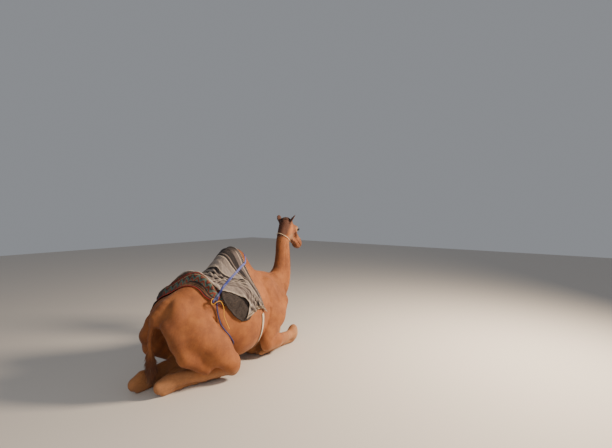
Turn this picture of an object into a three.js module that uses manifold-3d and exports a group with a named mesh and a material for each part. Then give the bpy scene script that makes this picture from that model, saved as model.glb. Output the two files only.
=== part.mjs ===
// A dromedary lying with folded legs, life size, wearing blankets, a strap, a flank rope and a girth.
// Sizes are in mm. +X is the way it faces, +Y its left side, +Z up, and it lies on the floor z = 0.
import * as THREE from 'three';
import Module from 'manifold-3d';

const wasm = await Module();
wasm.setup();

// Driving sizes
const SHIFT = [-175.7, 0.7, 0]; // moves the middle of the outline to the origin
const TORSO_GRID = 74;          // facet size of the trunk
const CREASE = 100;             // fillet where the upper limbs meet the trunk
const HOST_CUT = 9;             // the same between the trunk's side and a folded lower leg
const CUT = 4;                  // thin cut between one part of the body and the next
const EYE_R = 20;               // eyeball
const SOCKET_GAP = 2;           // clearance round the eyeball
const FIRST = 10;               // under rug above the coat
const KILIM = 6;                // thickness of the under rug
const PAD = 12;                 // thickness of the woollen pad
const STRIPED = 6;              // thickness of the top blanket
const LAYER_GAP = 14;           // between one cloth and the next
const STRAP = [27, 3];          // strap over the blankets: width, thickness
const ROPE_R = 7;               // flank rope
const GIRTH = [42, 3];          // girth band: width, thickness
const CORD_R = 3.5;             // thin yellow cord
const HALTER_R = 3;             // cord round the neck
const KNOT_R = [20, 17, 22];    // half sizes of a knot

// Distance fields. Every field takes a point [x, y, z] and returns mm, negative inside.
const rad = (deg) => deg * Math.PI / 180;
const dot = (a, b) => a[0] * b[0] + a[1] * b[1] + a[2] * b[2];
const sub = (a, b) => [a[0] - b[0], a[1] - b[1], a[2] - b[2]];
const add = (a, b, s = 1) => [a[0] + b[0] * s, a[1] + b[1] * s, a[2] + b[2] * s];
const cross = (a, b) => [a[1] * b[2] - a[2] * b[1], a[2] * b[0] - a[0] * b[2], a[0] * b[1] - a[1] * b[0]];
const unit = (a) => {
  const n = Math.hypot(a[0], a[1], a[2]);
  return [a[0] / n, a[1] / n, a[2] / n];
};

// Smooth union of two distances with a fillet of about k.
function blend(a, b, k) {
  const h = Math.max(k - Math.abs(a - b), 0);
  return Math.min(a, b) - h * h / (4 * k);
}

// Smooth curve through a table of stations, flat beyond its ends.
function curve(t, xs, ys) {
  const n = xs.length;
  const c = Math.min(Math.max(t, xs[0]), xs[n - 1]);
  let i = 0;
  while (i < n - 2 && c >= xs[i + 1]) i += 1;
  const slope = (j) => {
    if (j === 0) return (ys[1] - ys[0]) / (xs[1] - xs[0]);
    if (j === n - 1) return (ys[j] - ys[j - 1]) / (xs[j] - xs[j - 1]);
    const a = xs[j] - xs[j - 1];
    const b = xs[j + 1] - xs[j];
    return (a * a * ys[j + 1] + (b * b - a * a) * ys[j] - b * b * ys[j - 1]) / (a * b * (a + b));
  };
  const h = xs[i + 1] - xs[i];
  const u = (c - xs[i]) / h;
  return (2 * u ** 3 - 3 * u * u + 1) * ys[i] + (u ** 3 - 2 * u * u + u) * h * slope(i)
    + (-2 * u ** 3 + 3 * u * u) * ys[i + 1] + (u ** 3 - u * u) * h * slope(i + 1);
}

// Forward, left and up directions after turning by yaw, pitch and roll in degrees.
function axes(yaw, pitch, roll = 0) {
  const [cy, sy, cp, sp] = [Math.cos(rad(yaw)), Math.sin(rad(yaw)), Math.cos(rad(pitch)), Math.sin(rad(pitch))];
  const f = [cy * cp, sy * cp, sp];
  const s = [-sy, cy, 0];
  const u = cross(f, s);
  const [cr, sr] = [Math.cos(rad(roll)), Math.sin(rad(roll))];
  return [f, add([s[0] * cr, s[1] * cr, s[2] * cr], u, sr), add([u[0] * cr, u[1] * cr, u[2] * cr], s, -sr)];
}

// Ellipsoid: centre, half lengths along its own forward, left and up.
function egg(c, r, yaw = 0, pitch = 0, roll = 0) {
  const frame = axes(yaw, pitch, roll);
  return (p) => {
    const d = sub(p, c);
    let q0 = 0;
    let q1 = 0;
    for (let i = 0; i < 3; i += 1) {
      const u = dot(d, frame[i]) / r[i];
      q0 += u * u;
      q1 += (u / r[i]) ** 2;
    }
    const k0 = Math.sqrt(q0) + 1e-6;
    return k0 * (k0 - 1) / (Math.sqrt(q1) + 1e-9);
  };
}

// Tapering chain through points, with half widths across `side` and half depths the other way.
function limb(points, widths, depths, { side = [0, 1, 0], k = 12, smooth = 0 } = {}) {
  let [pts, wid, dep] = [points, widths, depths];
  if (smooth) {
    const t = points.map((_, i) => i);
    const T = Array.from({ length: (points.length - 1) * smooth + 1 }, (_, i) => i / smooth);
    pts = T.map((s) => [0, 1, 2].map((e) => curve(s, t, points.map((q) => q[e]))));
    wid = T.map((s) => curve(s, t, widths));
    dep = T.map((s) => curve(s, t, depths));
  }
  const across = unit(side);
  return (p) => {
    let out = Infinity;
    for (let i = 0; i < pts.length - 1; i += 1) {
      const ab = sub(pts[i + 1], pts[i]);
      let q = sub(p, pts[i]);
      const t = Math.min(Math.max(dot(q, ab) / dot(ab, ab), 0), 1);
      q = add(q, ab, -t);
      const w = wid[i] + (wid[i + 1] - wid[i]) * t;
      const d = dep[i] + (dep[i + 1] - dep[i]) * t;
      const c = dot(q, across);
      const q2 = dot(q, q);
      const r = Math.sqrt(c * c / (w * w) + Math.max(q2 - c * c, 0) / (d * d)) + 1e-9;
      const v = Math.max(Math.sqrt(q2) * (1 - 1 / r), -Math.min(w, d));
      out = out === Infinity ? v : blend(out, v, k);
    }
    return out;
  };
}

// Fields joined in turn, each with the fillet written beside it.
const fuse = (first, ...rest) => (p) => rest.reduce((d, [f, k]) => blend(d, f(p), k), first(p));
const mirrored = (f, side) => (p) => f([p[0], p[1] * side, p[2]]);

// Trunk: x, top, bottom, half width, narrowing towards the top
const STATIONS = [
  [-840, 700, 600, 50, 0.30], [-720, 800, 530, 140, 0.38], [-580, 870, 430, 200, 0.40],
  [-400, 945, 300, 235, 0.34], [-200, 985, 170, 290, 0.24], [20, 990, 85, 340, 0.18],
  [200, 985, 100, 320, 0.16], [340, 965, 150, 265, 0.16], [480, 935, 120, 240, 0.16],
  [620, 885, 220, 205, 0.16], [750, 790, 380, 145, 0.10], [830, 700, 500, 80, 0.10],
];
const COLUMN = [0, 1, 2, 3, 4].map((j) => STATIONS.map((s) => s[j]));
function barrel([x, y, z]) {
  const [top, bottom, width, taper] = [1, 2, 3, 4].map((j) => curve(x, COLUMN[0], COLUMN[j]));
  const zc = (top + bottom) / 2;
  const h = (top - bottom) / 2;
  const v = (z - zc) / h;
  const u = Math.abs(y) / (width * (1 - taper * Math.min(Math.max(v, -1), 1.2)));
  const r = (u ** 2.2 + Math.abs(v) ** 2.2) ** (1 / 2.2) + 1e-6;
  const d = Math.max(Math.hypot(y, z - zc) * (1 - 1 / r), -Math.min(width, h));
  const beyond = x - Math.min(Math.max(x, -840), 830);
  return beyond === 0 ? d : Math.hypot(Math.max(d, 0), beyond);
}
const trunk = fuse(
  barrel,
  [egg([80, 0, 918], [268, 165, 266]), 130],
  [egg([98, 0, 1098], [142, 82, 117]), 100],
  [egg([420, 0, 70], [130, 95, 80]), 60],
);
const neck = limb(
  [[550, 0, 640], [700, 0, 660], [830, 0, 735], [905, 0, 880], [925, 0, 1050], [926, 0, 1200], [942, -2, 1330],
    [972, -4, 1430]],
  [165, 150, 112, 84, 70, 63, 60, 64],
  [235, 210, 180, 135, 108, 96, 90, 86],
  { k: 20, smooth: 3 },
);
const tail = limb(
  [[-700, 0, 760], [-785, -5, 700], [-825, 0, 600], [-845, 10, 490], [-845, 5, 380], [-850, -15, 270],
    [-865, -45, 180]],
  [50, 40, 30, 24, 22, 30, 12],
  [45, 34, 26, 22, 22, 30, 12],
  { k: 15, smooth: 2 },
);

// Head, drawn in its own frame: forward along the face, left, up, from a point inside the brain case
const HEAD_AT = [968, -4, 1448];
const HEAD = axes(12, -33);
const toHead = (p) => {
  const d = sub(p, HEAD_AT);
  return [dot(d, HEAD[0]), dot(d, HEAD[1]), dot(d, HEAD[2])];
};
const fromHead = (q) => [0, 1, 2].map((e) => HEAD_AT[e] + q[0] * HEAD[0][e] + q[1] * HEAD[1][e] + q[2] * HEAD[2][e]);
const skull = fuse(
  egg([45, 0, 12], [105, 86, 78]),
  [egg([12, 0, 38], [62, 70, 53]), 50],
  [limb([[100, 0, 5], [200, 0, 0], [300, 0, -5], [400, 0, -12]], [70, 60, 50, 47], [72, 66, 56, 47], { k: 20 }), 50],
  [limb([[360, 0, -14], [418, 0, -22]], [48, 50], [42, 43]), 30],
  [egg([395, 0, -82], [45, 34, 24], 0, -5), 14],
);
const cheeks = fuse(
  egg([165, 70, 38], [52, 30, 32]),
  [egg([85, 43, -45], [85, 36, 70], 0, 10), 50],
  [limb([[60, 43, -95], [160, 36, -88], [280, 22, -78], [385, 10, -70]], [26, 24, 22, 24], [36, 32, 26, 24],
    { k: 20 }), 45],
  [egg([430, 24, -48], [36, 27, 28], 0, -20), 20],
);
const head = (p) => {
  const q = toHead(p);
  return blend(skull(q), cheeks([q[0], Math.abs(q[1]), q[2]]), 40);
};
const EYE_AT = [1, -1].map((s) => fromHead([165, 76 * s, 28]));

// Hind leg folded under the thigh; `back` moves the hock, `ham` the rear of the thigh
function hindLeg(side, back, ham) {
  const slope = [0.25, 1, 0.45];
  const thigh = fuse(
    limb([[-570, 120, 660], [-470, 215, 500], [-350, 295, 340], [-250, 345, 200]], [90, 120, 115, 85],
      [180, 200, 165, 115], { side: slope, k: 50 }),
    [limb([[-755, 120, 600], [-695 - ham, 205, 460], [-650 - ham, 240, 330], [-480, 290, 190]],
      [55, 75, 68, 60], [70, 95, 90, 70], { side: [0.25, 1, 0.2], k: 40 }), 80],
    [egg([-215, 355, 145], [80, 70, 100], -10), 60],
  );
  const shank = fuse(
    limb([[-250, 310, 130], [-440, 225, 120], [-640, 155, 110], [-770 - back, 125, 100]], [65, 58, 44, 38],
      [85, 80, 55, 55], { k: 30 }),
    [limb([[-740 - back, 130, 95], [-815 - back, 115, 85]], [40, 36], [72, 66], { k: 30 }), 30],
    [limb([[-600, 165, 150], [-750 - back, 128, 150], [-835 - back, 112, 100]], [28, 22, 27], [30, 22, 35],
      { k: 30 }), 40],
  );
  const foot = fuse(
    limb([[-785 - back, 115, 45], [-640, 125, 42], [-490, 150, 45]], [36, 30, 36], [50, 38, 42], { k: 20 }),
    [limb([[-490, 150, 45], [-410, 165, 45], [-330, 180, 40]], [45, 55, 65], [42, 42, 38], { k: 20 }), 20],
    [egg([-285, 155, 36], [60, 36, 36], -6), 30],
    [egg([-285, 218, 36], [60, 36, 36], 6), 12],
  );
  return [thigh, shank, foot].map((f) => mirrored(f, side));
}

// Fore leg folded at the knee, cannon and foot turned back under the forearm
function foreLeg(side) {
  const arm = fuse(
    limb([[700, 170, 560], [570, 215, 420], [440, 235, 280]], [75, 80, 70], [105, 120, 100], { k: 40 }),
    [egg([550, 150, 630], [120, 75, 250], 0, 20), 100],
    [egg([375, 235, 220], [75, 58, 80]), 50],
  );
  const forearm = fuse(
    limb([[400, 235, 165], [540, 230, 155], [740, 185, 128], [880, 150, 120]], [66, 64, 48, 50], [95, 90, 62, 60],
      { k: 30 }),
    [egg([945, 140, 125], [75, 66, 105], 0, -15), 40],
  );
  const foot = fuse(
    limb([[930, 135, 50], [760, 125, 42], [580, 125, 42]], [40, 30, 36], [45, 32, 38], { k: 20 }),
    [limb([[580, 125, 42], [500, 125, 45], [440, 125, 45]], [42, 50, 55], [40, 42, 40], { k: 20 }), 20],
    [egg([395, 100, 45], [55, 32, 34]), 30],
    [egg([395, 153, 45], [55, 32, 34]), 12],
  );
  return [arm, forearm, foot].map((f) => mirrored(f, side));
}
const LEGS = [['left', 1, 110, 30], ['right', -1, 5, 0]].map(([name, side, back, ham]) => {
  const [thigh, shank, hindFoot] = hindLeg(side, back, ham);
  const [arm, forearm, foreFoot] = foreLeg(side);
  return { name, side, back, thigh, shank, hindFoot, arm, forearm, foreFoot };
});

// The whole outline, every joint filleted into the next
const body = (() => {
  const list = [[neck, 100]];
  for (const L of LEGS) {
    list.push([L.arm, 60], [fuse(L.forearm, [L.foreFoot, 10]), 30]);
    list.push([L.thigh, 35], [fuse(L.shank, [L.hindFoot, 10]), 20]);
  }
  list.push([head, 40], [tail, 30]);
  return fuse(trunk, ...list);
})();

// Trunk with the upper limbs still on it; the lower limbs, tail and head are grown as solids of their own
const core = fuse(trunk, [neck, 100], ...LEGS.flatMap((L) => [[L.arm, CREASE], [L.thigh, CREASE]]));
const half = (at, normal) => {
  const n = unit(normal);
  return (p) => dot(sub(p, at), n);
};
const NECK_BASE = half([760, 0, 720], [0.936, 0, 0.351]);     // positive on the neck's side
const NECK_TOP = half([955, -4, 1372], [0.68, 0.1, 0.73]);       // positive on the head's side

// Region of a lower limb or the tail: inside the outline, above the floor, clear of the core and its rivals
function region(own, rivals = [], host = core) {
  return (p) => {
    let d = Math.max(body(p), -p[2] - 20, HOST_CUT - host(p));
    const mine = own(p);
    for (const g of rivals) d = Math.max(d, (mine - g(p)) / 2 + CUT);
    return d;
  };
}

// First place along a ray where a field turns positive.
function reach(field, from, dir, limit = 1000) {
  let t = 0;
  let last = 0;
  let d = field(from);
  if (d > 0) return from;
  while (d <= 0 && t < limit) {
    last = t;
    t += Math.max(-d * 0.7, 0.6);
    d = field(add(from, dir, t));
  }
  let [lo, hi] = [last, t];
  for (let i = 0; i < 18; i += 1) {
    const mid = (lo + hi) / 2;
    if (field(add(from, dir, mid)) > 0) hi = mid;
    else lo = mid;
  }
  const p = add(from, dir, lo);
  if (Math.abs(p[2]) < 0.02) p[2] = 0;
  return p;
}

// Indexed triangles from rows of points that close round, with a point at each end.
function closeRows(start, rows, end) {
  const n = rows[0].length;
  const points = [start, ...rows.flat(), end];
  const faces = [];
  const at = (r, i) => 1 + r * n + ((i + n) % n);
  for (let i = 0; i < n; i += 1) {
    faces.push([0, at(0, i + 1), at(0, i)]);
    faces.push([points.length - 1, at(rows.length - 1, i), at(rows.length - 1, i + 1)]);
    for (let r = 0; r < rows.length - 1; r += 1) {
      faces.push([at(r, i), at(r, i + 1), at(r + 1, i + 1)], [at(r, i), at(r + 1, i + 1), at(r + 1, i)]);
    }
  }
  return { points, faces };
}

// A closed solid grown round an axis: a ring of rays at each station, a fan of tilted rays at each end.
function grow(axis, segments, field, { up = [0, 0, 1], fan = [30, 60], turn = 0 } = {}) {
  const last = axis.length - 1;
  const rows = [];
  const ring = (at, T, tilt, sense) => {
    const S = unit(cross(T, up));
    const U = cross(S, T);
    return Array.from({ length: segments }, (_, i) => {
      const a = 2 * Math.PI * (i + turn) / segments;
      const flat = add([U[0] * Math.cos(a), U[1] * Math.cos(a), U[2] * Math.cos(a)], S, Math.sin(a));
      const c = Math.cos(rad(tilt));
      return reach(field, at, unit(add([flat[0] * c, flat[1] * c, flat[2] * c], T, sense * Math.sin(rad(tilt)))));
    });
  };
  const way = axis.map((_, i) => unit(sub(axis[Math.min(i + 1, last)], axis[Math.max(i - 1, 0)])));
  for (const tilt of [...fan].reverse()) rows.push(ring(axis[0], way[0], tilt, -1));
  axis.forEach((c, i) => rows.push(ring(c, way[i], 0, 1)));
  for (const tilt of fan) rows.push(ring(axis[last], way[last], tilt, 1));
  const start = reach(field, axis[0], [-way[0][0], -way[0][1], -way[0][2]]);
  return closeRows(start, rows, reach(field, axis[last], way[last]));
}

// Points spread evenly along a smooth line through a few given ones.
function along(points, n) {
  const t = points.map((_, i) => i);
  return Array.from({ length: n }, (_, i) => {
    const s = i / (n - 1) * (points.length - 1);
    return [0, 1, 2].map((e) => curve(s, t, points.map((q) => q[e])));
  });
}

// Gradient of a field.
function slope(field, p) {
  return [0, 1, 2].map((e) => {
    const step = [0, 0, 0];
    step[e] = 1;
    return (field(add(p, step)) - field(sub(p, step))) / 2;
  });
}

const root = new THREE.Group();
function node(name, { points, faces }, colour, roughness) {
  const geometry = new THREE.BufferGeometry();
  geometry.setAttribute('position', new THREE.Float32BufferAttribute(points.flatMap((p) => add(p, SHIFT)), 3));
  geometry.setIndex(faces.flat());
  geometry.computeVertexNormals();
  const mesh = new THREE.Mesh(geometry, new THREE.MeshStandardMaterial({ color: colour, roughness, metalness: 0 }));
  mesh.name = name;
  root.add(mesh);
}
const toManifold = ({ points, faces }) => new wasm.Manifold(new wasm.Mesh({
  numProp: 3,
  vertProperties: new Float32Array(points.flat()),
  triVerts: new Uint32Array(faces.flat()),
}));
function fromManifold(solid) {
  const m = solid.getMesh();
  const points = [];
  for (let i = 0; i < m.vertProperties.length; i += m.numProp) points.push([...m.vertProperties.slice(i, i + 3)]);
  const faces = [];
  for (let i = 0; i < m.triVerts.length; i += 3) faces.push([...m.triVerts.slice(i, i + 3)]);
  return { points, faces };
}
// Biggest piece of a solid that a cut has left in several.
function largest(solid) {
  return solid.decompose().sort((a, b) => b.volume() - a.volume())[0];
}

// Closed surface of a field on a cubic grid: one point in every cell the surface crosses.
function nets(field, lo, hi, size) {
  const n = [0, 1, 2].map((e) => Math.ceil((hi[e] - lo[e]) / size) + 1);
  const corner = (i, j, k) => [lo[0] + i * size, lo[1] + j * size, lo[2] + k * size];
  const index = (i, j, k) => (i * n[1] + j) * n[2] + k;
  const value = new Float64Array(n[0] * n[1] * n[2]);
  for (let i = 0; i < n[0]; i += 1) {
    for (let j = 0; j < n[1]; j += 1) {
      for (let k = 0; k < n[2]; k += 1) value[index(i, j, k)] = field(corner(i, j, k));
    }
  }
  const cell = new Map();
  const points = [];
  const edges = [];
  for (const a of [0, 1, 2, 3, 4, 5, 6, 7]) {
    for (const e of [1, 2, 4]) if (!(a & e)) edges.push([a, a | e]);
  }
  const bits = (a) => [a & 1, (a >> 1) & 1, (a >> 2) & 1];
  for (let i = 0; i < n[0] - 1; i += 1) {
    for (let j = 0; j < n[1] - 1; j += 1) {
      for (let k = 0; k < n[2] - 1; k += 1) {
        const crossing = [];
        for (const [a, b] of edges) {
          const [A, B] = [bits(a), bits(b)];
          const va = value[index(i + A[0], j + A[1], k + A[2])];
          const vb = value[index(i + B[0], j + B[1], k + B[2])];
          if ((va < 0) !== (vb < 0)) {
            const t = va / (va - vb);
            crossing.push([0, 1, 2].map((e) => A[e] + (B[e] - A[e]) * t));
          }
        }
        if (crossing.length) {
          const m = [0, 1, 2].map((e) => crossing.reduce((sum, q) => sum + q[e], 0) / crossing.length);
          let p = add(corner(i, j, k), m, size);
          for (let pass = 0; pass < 4; pass += 1) {
            const g = slope(field, p);
            p = add(p, g, -field(p) / Math.max(dot(g, g), 0.3));
          }
          const limits = corner(i, j, k);
          p = p.map((v, e) => Math.min(Math.max(v, limits[e] - 0.2 * size), limits[e] + 1.2 * size));
          cell.set(index(i, j, k), points.length);
          points.push(p);
        }
      }
    }
  }
  const faces = [];
  for (let d = 0; d < 3; d += 1) {
    const [u, v] = [(d + 1) % 3, (d + 2) % 3];
    const c = [0, 0, 0];
    for (c[0] = 0; c[0] < n[0]; c[0] += 1) {
      for (c[1] = 0; c[1] < n[1]; c[1] += 1) {
        for (c[2] = 0; c[2] < n[2]; c[2] += 1) {
          if (c[d] === n[d] - 1 || c[u] === 0 || c[v] === 0 || c[u] === n[u] - 1 || c[v] === n[v] - 1) continue;
          const next = [...c];
          next[d] += 1;
          const inside = value[index(...c)] < 0;
          if (inside === (value[index(...next)] < 0)) continue;
          const quad = [[1, 1], [0, 1], [0, 0], [1, 0]].map(([a, b]) => {
            const q = [...c];
            q[u] -= a;
            q[v] -= b;
            return cell.get(index(...q));
          });
          if (!inside) quad.reverse();
          const [A, B, C, D] = quad;
          if (Math.hypot(...sub(points[A], points[C])) < Math.hypot(...sub(points[B], points[D]))) {
            faces.push([A, B, C], [A, C, D]);
          } else faces.push([A, B, D], [B, C, D]);
        }
      }
    }
  }
  return { points, faces };
}

// Block with eight corners: four round the back end, then four round the front end.
function block(corners) {
  const quads = [[0, 1, 2, 3], [7, 6, 5, 4], [0, 4, 5, 1], [1, 5, 6, 2], [2, 6, 7, 3], [3, 7, 4, 0]];
  const faces = quads.flatMap(([a, b, c, d]) => [[a, b, c], [a, c, d]]);
  const solid = { points: corners, faces };
  const m = toManifold(solid);
  return m.volume() > 0 ? m : toManifold({ points: corners, faces: faces.map(([a, b, c]) => [a, c, b]) });
}
const shrunk = (corners, about, by) => corners.map((c) => add(about, sub(c, about), 1 - by));

const COAT = 0xb9824f;

// Trunk with hump and chest pad; each upper arm and thigh is parted from it by a thin cut
const FLOOR = block([
  [-2000, -2000, -200], [-2000, 2000, -200], [-2000, 2000, 0], [-2000, -2000, 0],
  [2000, -2000, -200], [2000, 2000, -200], [2000, 2000, 0], [2000, -2000, 0],
]);
const coreSolid = toManifold(nets((p) => Math.max(core(p), NECK_BASE(p) - 80), [-905, -480, -70],
  [1060, 480, 1290], TORSO_GRID)).subtract(FLOOR);
const PARTING = {
  thigh: [
    [-1000, 95, 640], [-1000, 600, 640], [-1000, 600, 20], [-1000, 95, 20],
    [-400, 165, 800], [-400, 600, 800], [-110, 600, 20], [-110, 300, 20],
  ],
  upper_arm: [
    [400, 175, 760], [400, 600, 760], [268, 600, 60], [268, 180, 60],
    [600, 110, 840], [600, 600, 840], [800, 600, 380], [800, 95, 380],
  ],
};
let trunkSolid = coreSolid.subtract(block([
  [760 - 351, -900, 720 + 936], [760 - 351, 900, 720 + 936], [760 + 351, 900, 720 - 936], [760 + 351, -900, 720 - 936],
  [2500, -900, 2200], [2500, 900, 2200], [2500, 900, -900], [2500, -900, -900],
]));
for (const L of LEGS) {
  for (const [name, corners] of Object.entries(PARTING)) {
    const turned = corners.map(([x, y, z]) => [x, y * L.side, z]);
    const about = name === 'thigh' ? [-420, 420 * L.side, 380] : [520, 400 * L.side, 450];
    const limbSolid = trunkSolid.intersect(block(shrunk(turned, about, 0.014)));
    trunkSolid = trunkSolid.subtract(block(turned));
    node(`${name}_${L.name}`, fromManifold(largest(limbSolid)), COAT, 0.85);
  }
}
node('trunk', fromManifold(largest(trunkSolid)), COAT, 0.85);

// Neck between its two cuts, and head with a socket for each eyeball
const neckRegion = (p) => Math.max(body(p), CUT - NECK_BASE(p), NECK_TOP(p) + CUT);
node('neck', grow(along([[812, 0, 700], [880, 0, 830], [915, 0, 980], [925, 0, 1140], [942, -2, 1310]], 10), 14,
  neckRegion, { up: [1, 0, 0], fan: [25, 45, 65] }), COAT, 0.85);
const HEAD_LINE = along([[18, 0, -8], [100, 0, -15], [200, 0, -25], [300, 0, -28], [412, 0, -34]], 14).map(fromHead);
const headRegion = (p) => Math.max(body(p), -NECK_TOP(p));
let headSolid = toManifold(grow(HEAD_LINE, 18, headRegion, { fan: [28, 58] }));
const ball = (c, r, n) => grow([-0.6, -0.2, 0.2, 0.6].map((t) => add(c, HEAD[1], t * r)), n,
  (p) => Math.hypot(...sub(p, c)) - r, { fan: [40] });
for (const [i, side] of ['left', 'right'].entries()) {
  headSolid = headSolid.subtract(toManifold(ball(EYE_AT[i], EYE_R + SOCKET_GAP, 12)));
  node(`eye_${side}`, ball(EYE_AT[i], EYE_R, 12), 0x1d120b, 0.12);
}
node('head', fromManifold(largest(headSolid)), COAT, 0.85);

// Ears: cupped leaves on the sides of the crown, opening outwards and forwards
const EAR_ROOT = [-14, 78, 30];
const EAR_LENGTH = 112;
function ear(side) {
  const lean = unit([-0.12, side * 0.42, 1]);
  const facing = [Math.cos(rad(50)), side * Math.sin(rad(50)), 0];
  const mouth = unit(add(facing, lean, -dot(facing, lean)));
  const wide = cross(lean, mouth);
  const rows = [0, 0.14, 0.34, 0.56, 0.78, 0.96].map((t) => {
    const half = curve(t, [0, 0.25, 0.5, 0.75, 0.9, 1], [20, 27, 29, 24, 15, 4]);
    const deep = curve(t, [0, 0.3, 0.7, 1], [22, 24, 15, 5]);
    const thick = curve(t, [0, 0.15, 0.4, 1], [17, 12, 7, 3]);
    const shell = [];
    for (let i = 0; i <= 6; i += 1) {
      const a = rad(-105 + 210 * i / 6);
      shell.push([half * Math.sin(a), -deep * Math.cos(a)]);
    }
    for (let i = 0; i < 4; i += 1) {
      const a = rad(75 - 150 * i / 3);
      shell.push([(half - thick) * Math.sin(a), -Math.max(deep - thick, 0.5) * Math.cos(a)]);
    }
    const from = add([EAR_ROOT[0], EAR_ROOT[1] * side, EAR_ROOT[2]], lean, t * EAR_LENGTH);
    return shell.map(([w, m]) => fromHead(add(add(from, wide, w * side), mouth, m)));
  });
  const middle = (row) => [0, 1, 2].map((e) => row.reduce((sum, q) => sum + q[e], 0) / row.length);
  const solid = closeRows(middle(rows[0]), rows, middle(rows[rows.length - 1]));
  return side < 0 ? solid : { points: solid.points, faces: solid.faces.map(([a, b, c]) => [a, c, b]) };
}
const crown = toManifold(grow(HEAD_LINE.slice(0, 8), 18, (p) => body(p) - 2, { fan: [25, 45, 65] }));
for (const [side, name] of [[1, 'ear_left'], [-1, 'ear_right']]) {
  node(name, fromManifold(largest(toManifold(ear(side)).subtract(crown))), COAT, 0.85);
}

// Tail, hanging between the thighs
node('tail', grow(along([[-797, -4, 680], [-825, 0, 600], [-845, 10, 490], [-845, 5, 380], [-850, -15, 270],
  [-862, -40, 195]], 9), 8, region(tail, [], (p) => core(p) - 12), { up: [1, 0, 0], fan: [45] }), COAT, 0.9);

// Lower legs, folded under
for (const L of LEGS) {
  const at = (list) => list.map(([x, y, z]) => [x, y * L.side, z]);
  const leg = (name, line, rings, segments, own, rivals, fan = [45]) => {
    const solid = toManifold(grow(along(at(line), rings), segments, region(own, rivals), { fan }));
    node(`${name}_${L.name}`, fromManifold(largest(solid.subtract(FLOOR))), COAT, 0.85);
  };
  leg('forearm', [[450, 235, 150], [540, 230, 150], [740, 185, 126], [880, 150, 118], [945, 142, 120]], 8, 10,
    L.forearm, [L.foreFoot]);
  leg('fore_foot', [[915, 136, 48], [760, 125, 42], [580, 125, 42], [500, 125, 44], [400, 127, 44]], 7, 8,
    L.foreFoot, [L.forearm]);
  leg('shank', [[-395, 245, 100], [-500, 200, 108], [-640, 155, 110], [-805 - L.back, 117, 88]], 8, 10, L.shank,
    [L.hindFoot], [30, 60]);
  leg('hind_foot', [[-765 - L.back, 117, 44], [-640, 125, 42], [-490, 150, 44], [-400, 167, 44], [-300, 185, 38]], 7,
    8, L.hindFoot, [L.shank]);
}

// Place on the back: x along it, angle from straight up towards the right side, height above the coat
const CORE_Z = 500;
const hull = (p) => Math.min(body(p), core(p));
const place = (x, angle, height) => reach((p) => hull(p) - height, [x, 0, CORE_Z],
  [0, -Math.sin(rad(angle)), Math.cos(rad(angle))]);
function outward(p) {
  const g = [0, 1, 2].map((e) => {
    const step = [0, 0, 0];
    step[e] = 2;
    return body(add(p, step)) - body(sub(p, step));
  });
  return unit(g);
}

// Each cloth covers the back between a rear and a front edge (tables against the angle) down to its hems.
const EDGES = {
  kilim: {
    angle: [-70, -50, -36, -17, -6, 3, 10, 20, 30, 42, 52],
    rear: [-700, -715, -705, -670, -600, -515, -455, -415, -385, -320, -250],
    front: [-480, -460, -440, -400, -330, -260, -215, -190, -165, -125, -100],
  },
  pad: {
    angle: [26, 34, 45, 60, 78, 85],
    rear: [-185, -228, -240, -190, -120, -70],
    front: [40, 70, 90, 110, 60, 20],
  },
  striped: {
    angle: [-78, -40, -20, -7, 3, 15, 25, 34, 40, 50, 62, 72, 84],
    rear: [-600, -570, -510, -440, -370, -310, -257, -222, -130, -25, 25, 10, -50],
    front: [-50, 20, 70, 105, 125, 150, 180, 205, 225, 255, 285, 305, 340],
  },
};
const edge = (name, which, angle) => curve(angle, EDGES[name].angle, EDGES[name][which]);
const hems = (name) => [EDGES[name].angle[0], EDGES[name].angle[EDGES[name].angle.length - 1]];

// The padded roll across the loin, under the rug, and how far it lifts the cloth over it
const ROLL = {
  angle: [-42, -30, -20, -13, -6, 3, 12, 22, 32],
  x: [-620, -590, -545, -500, -450, -400, -362, -328, -298],
  r: [26, 38, 42, 43, 42, 38, 32, 25, 16],
};
const rollX = (angle) => curve(angle, ROLL.angle, ROLL.x);
const rollR = (angle) => curve(angle, ROLL.angle, ROLL.r);
function lift(x, angle) {
  const past = Math.max(ROLL.angle[0] - angle, angle - ROLL.angle[ROLL.angle.length - 1], 0);
  return 2.65 * rollR(angle) * Math.exp(-(((x - rollX(angle)) / 100) ** 2)) * Math.exp(-((past / 9) ** 2));
}
const ramp = (v) => Math.min(Math.max(v, 0), 1) ** 2 * (3 - 2 * Math.min(Math.max(v, 0), 1));
function covered(name, x, angle) {
  const [low, high] = hems(name);
  const side = Math.min(x - edge(name, 'rear', angle), edge(name, 'front', angle) - x);
  return ramp(side / 110 + 1) * ramp(Math.min(angle - low, high - angle) / 12 + 1);
}
const kilimBase = (x, angle) => FIRST + lift(x, angle);
const padBase = (x, angle) => FIRST + lift(x, angle) + (KILIM + LAYER_GAP) * covered('kilim', x, angle);
const stripedBase = (x, angle) => padBase(x, angle) + (PAD + LAYER_GAP) * covered('pad', x, angle);
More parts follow.
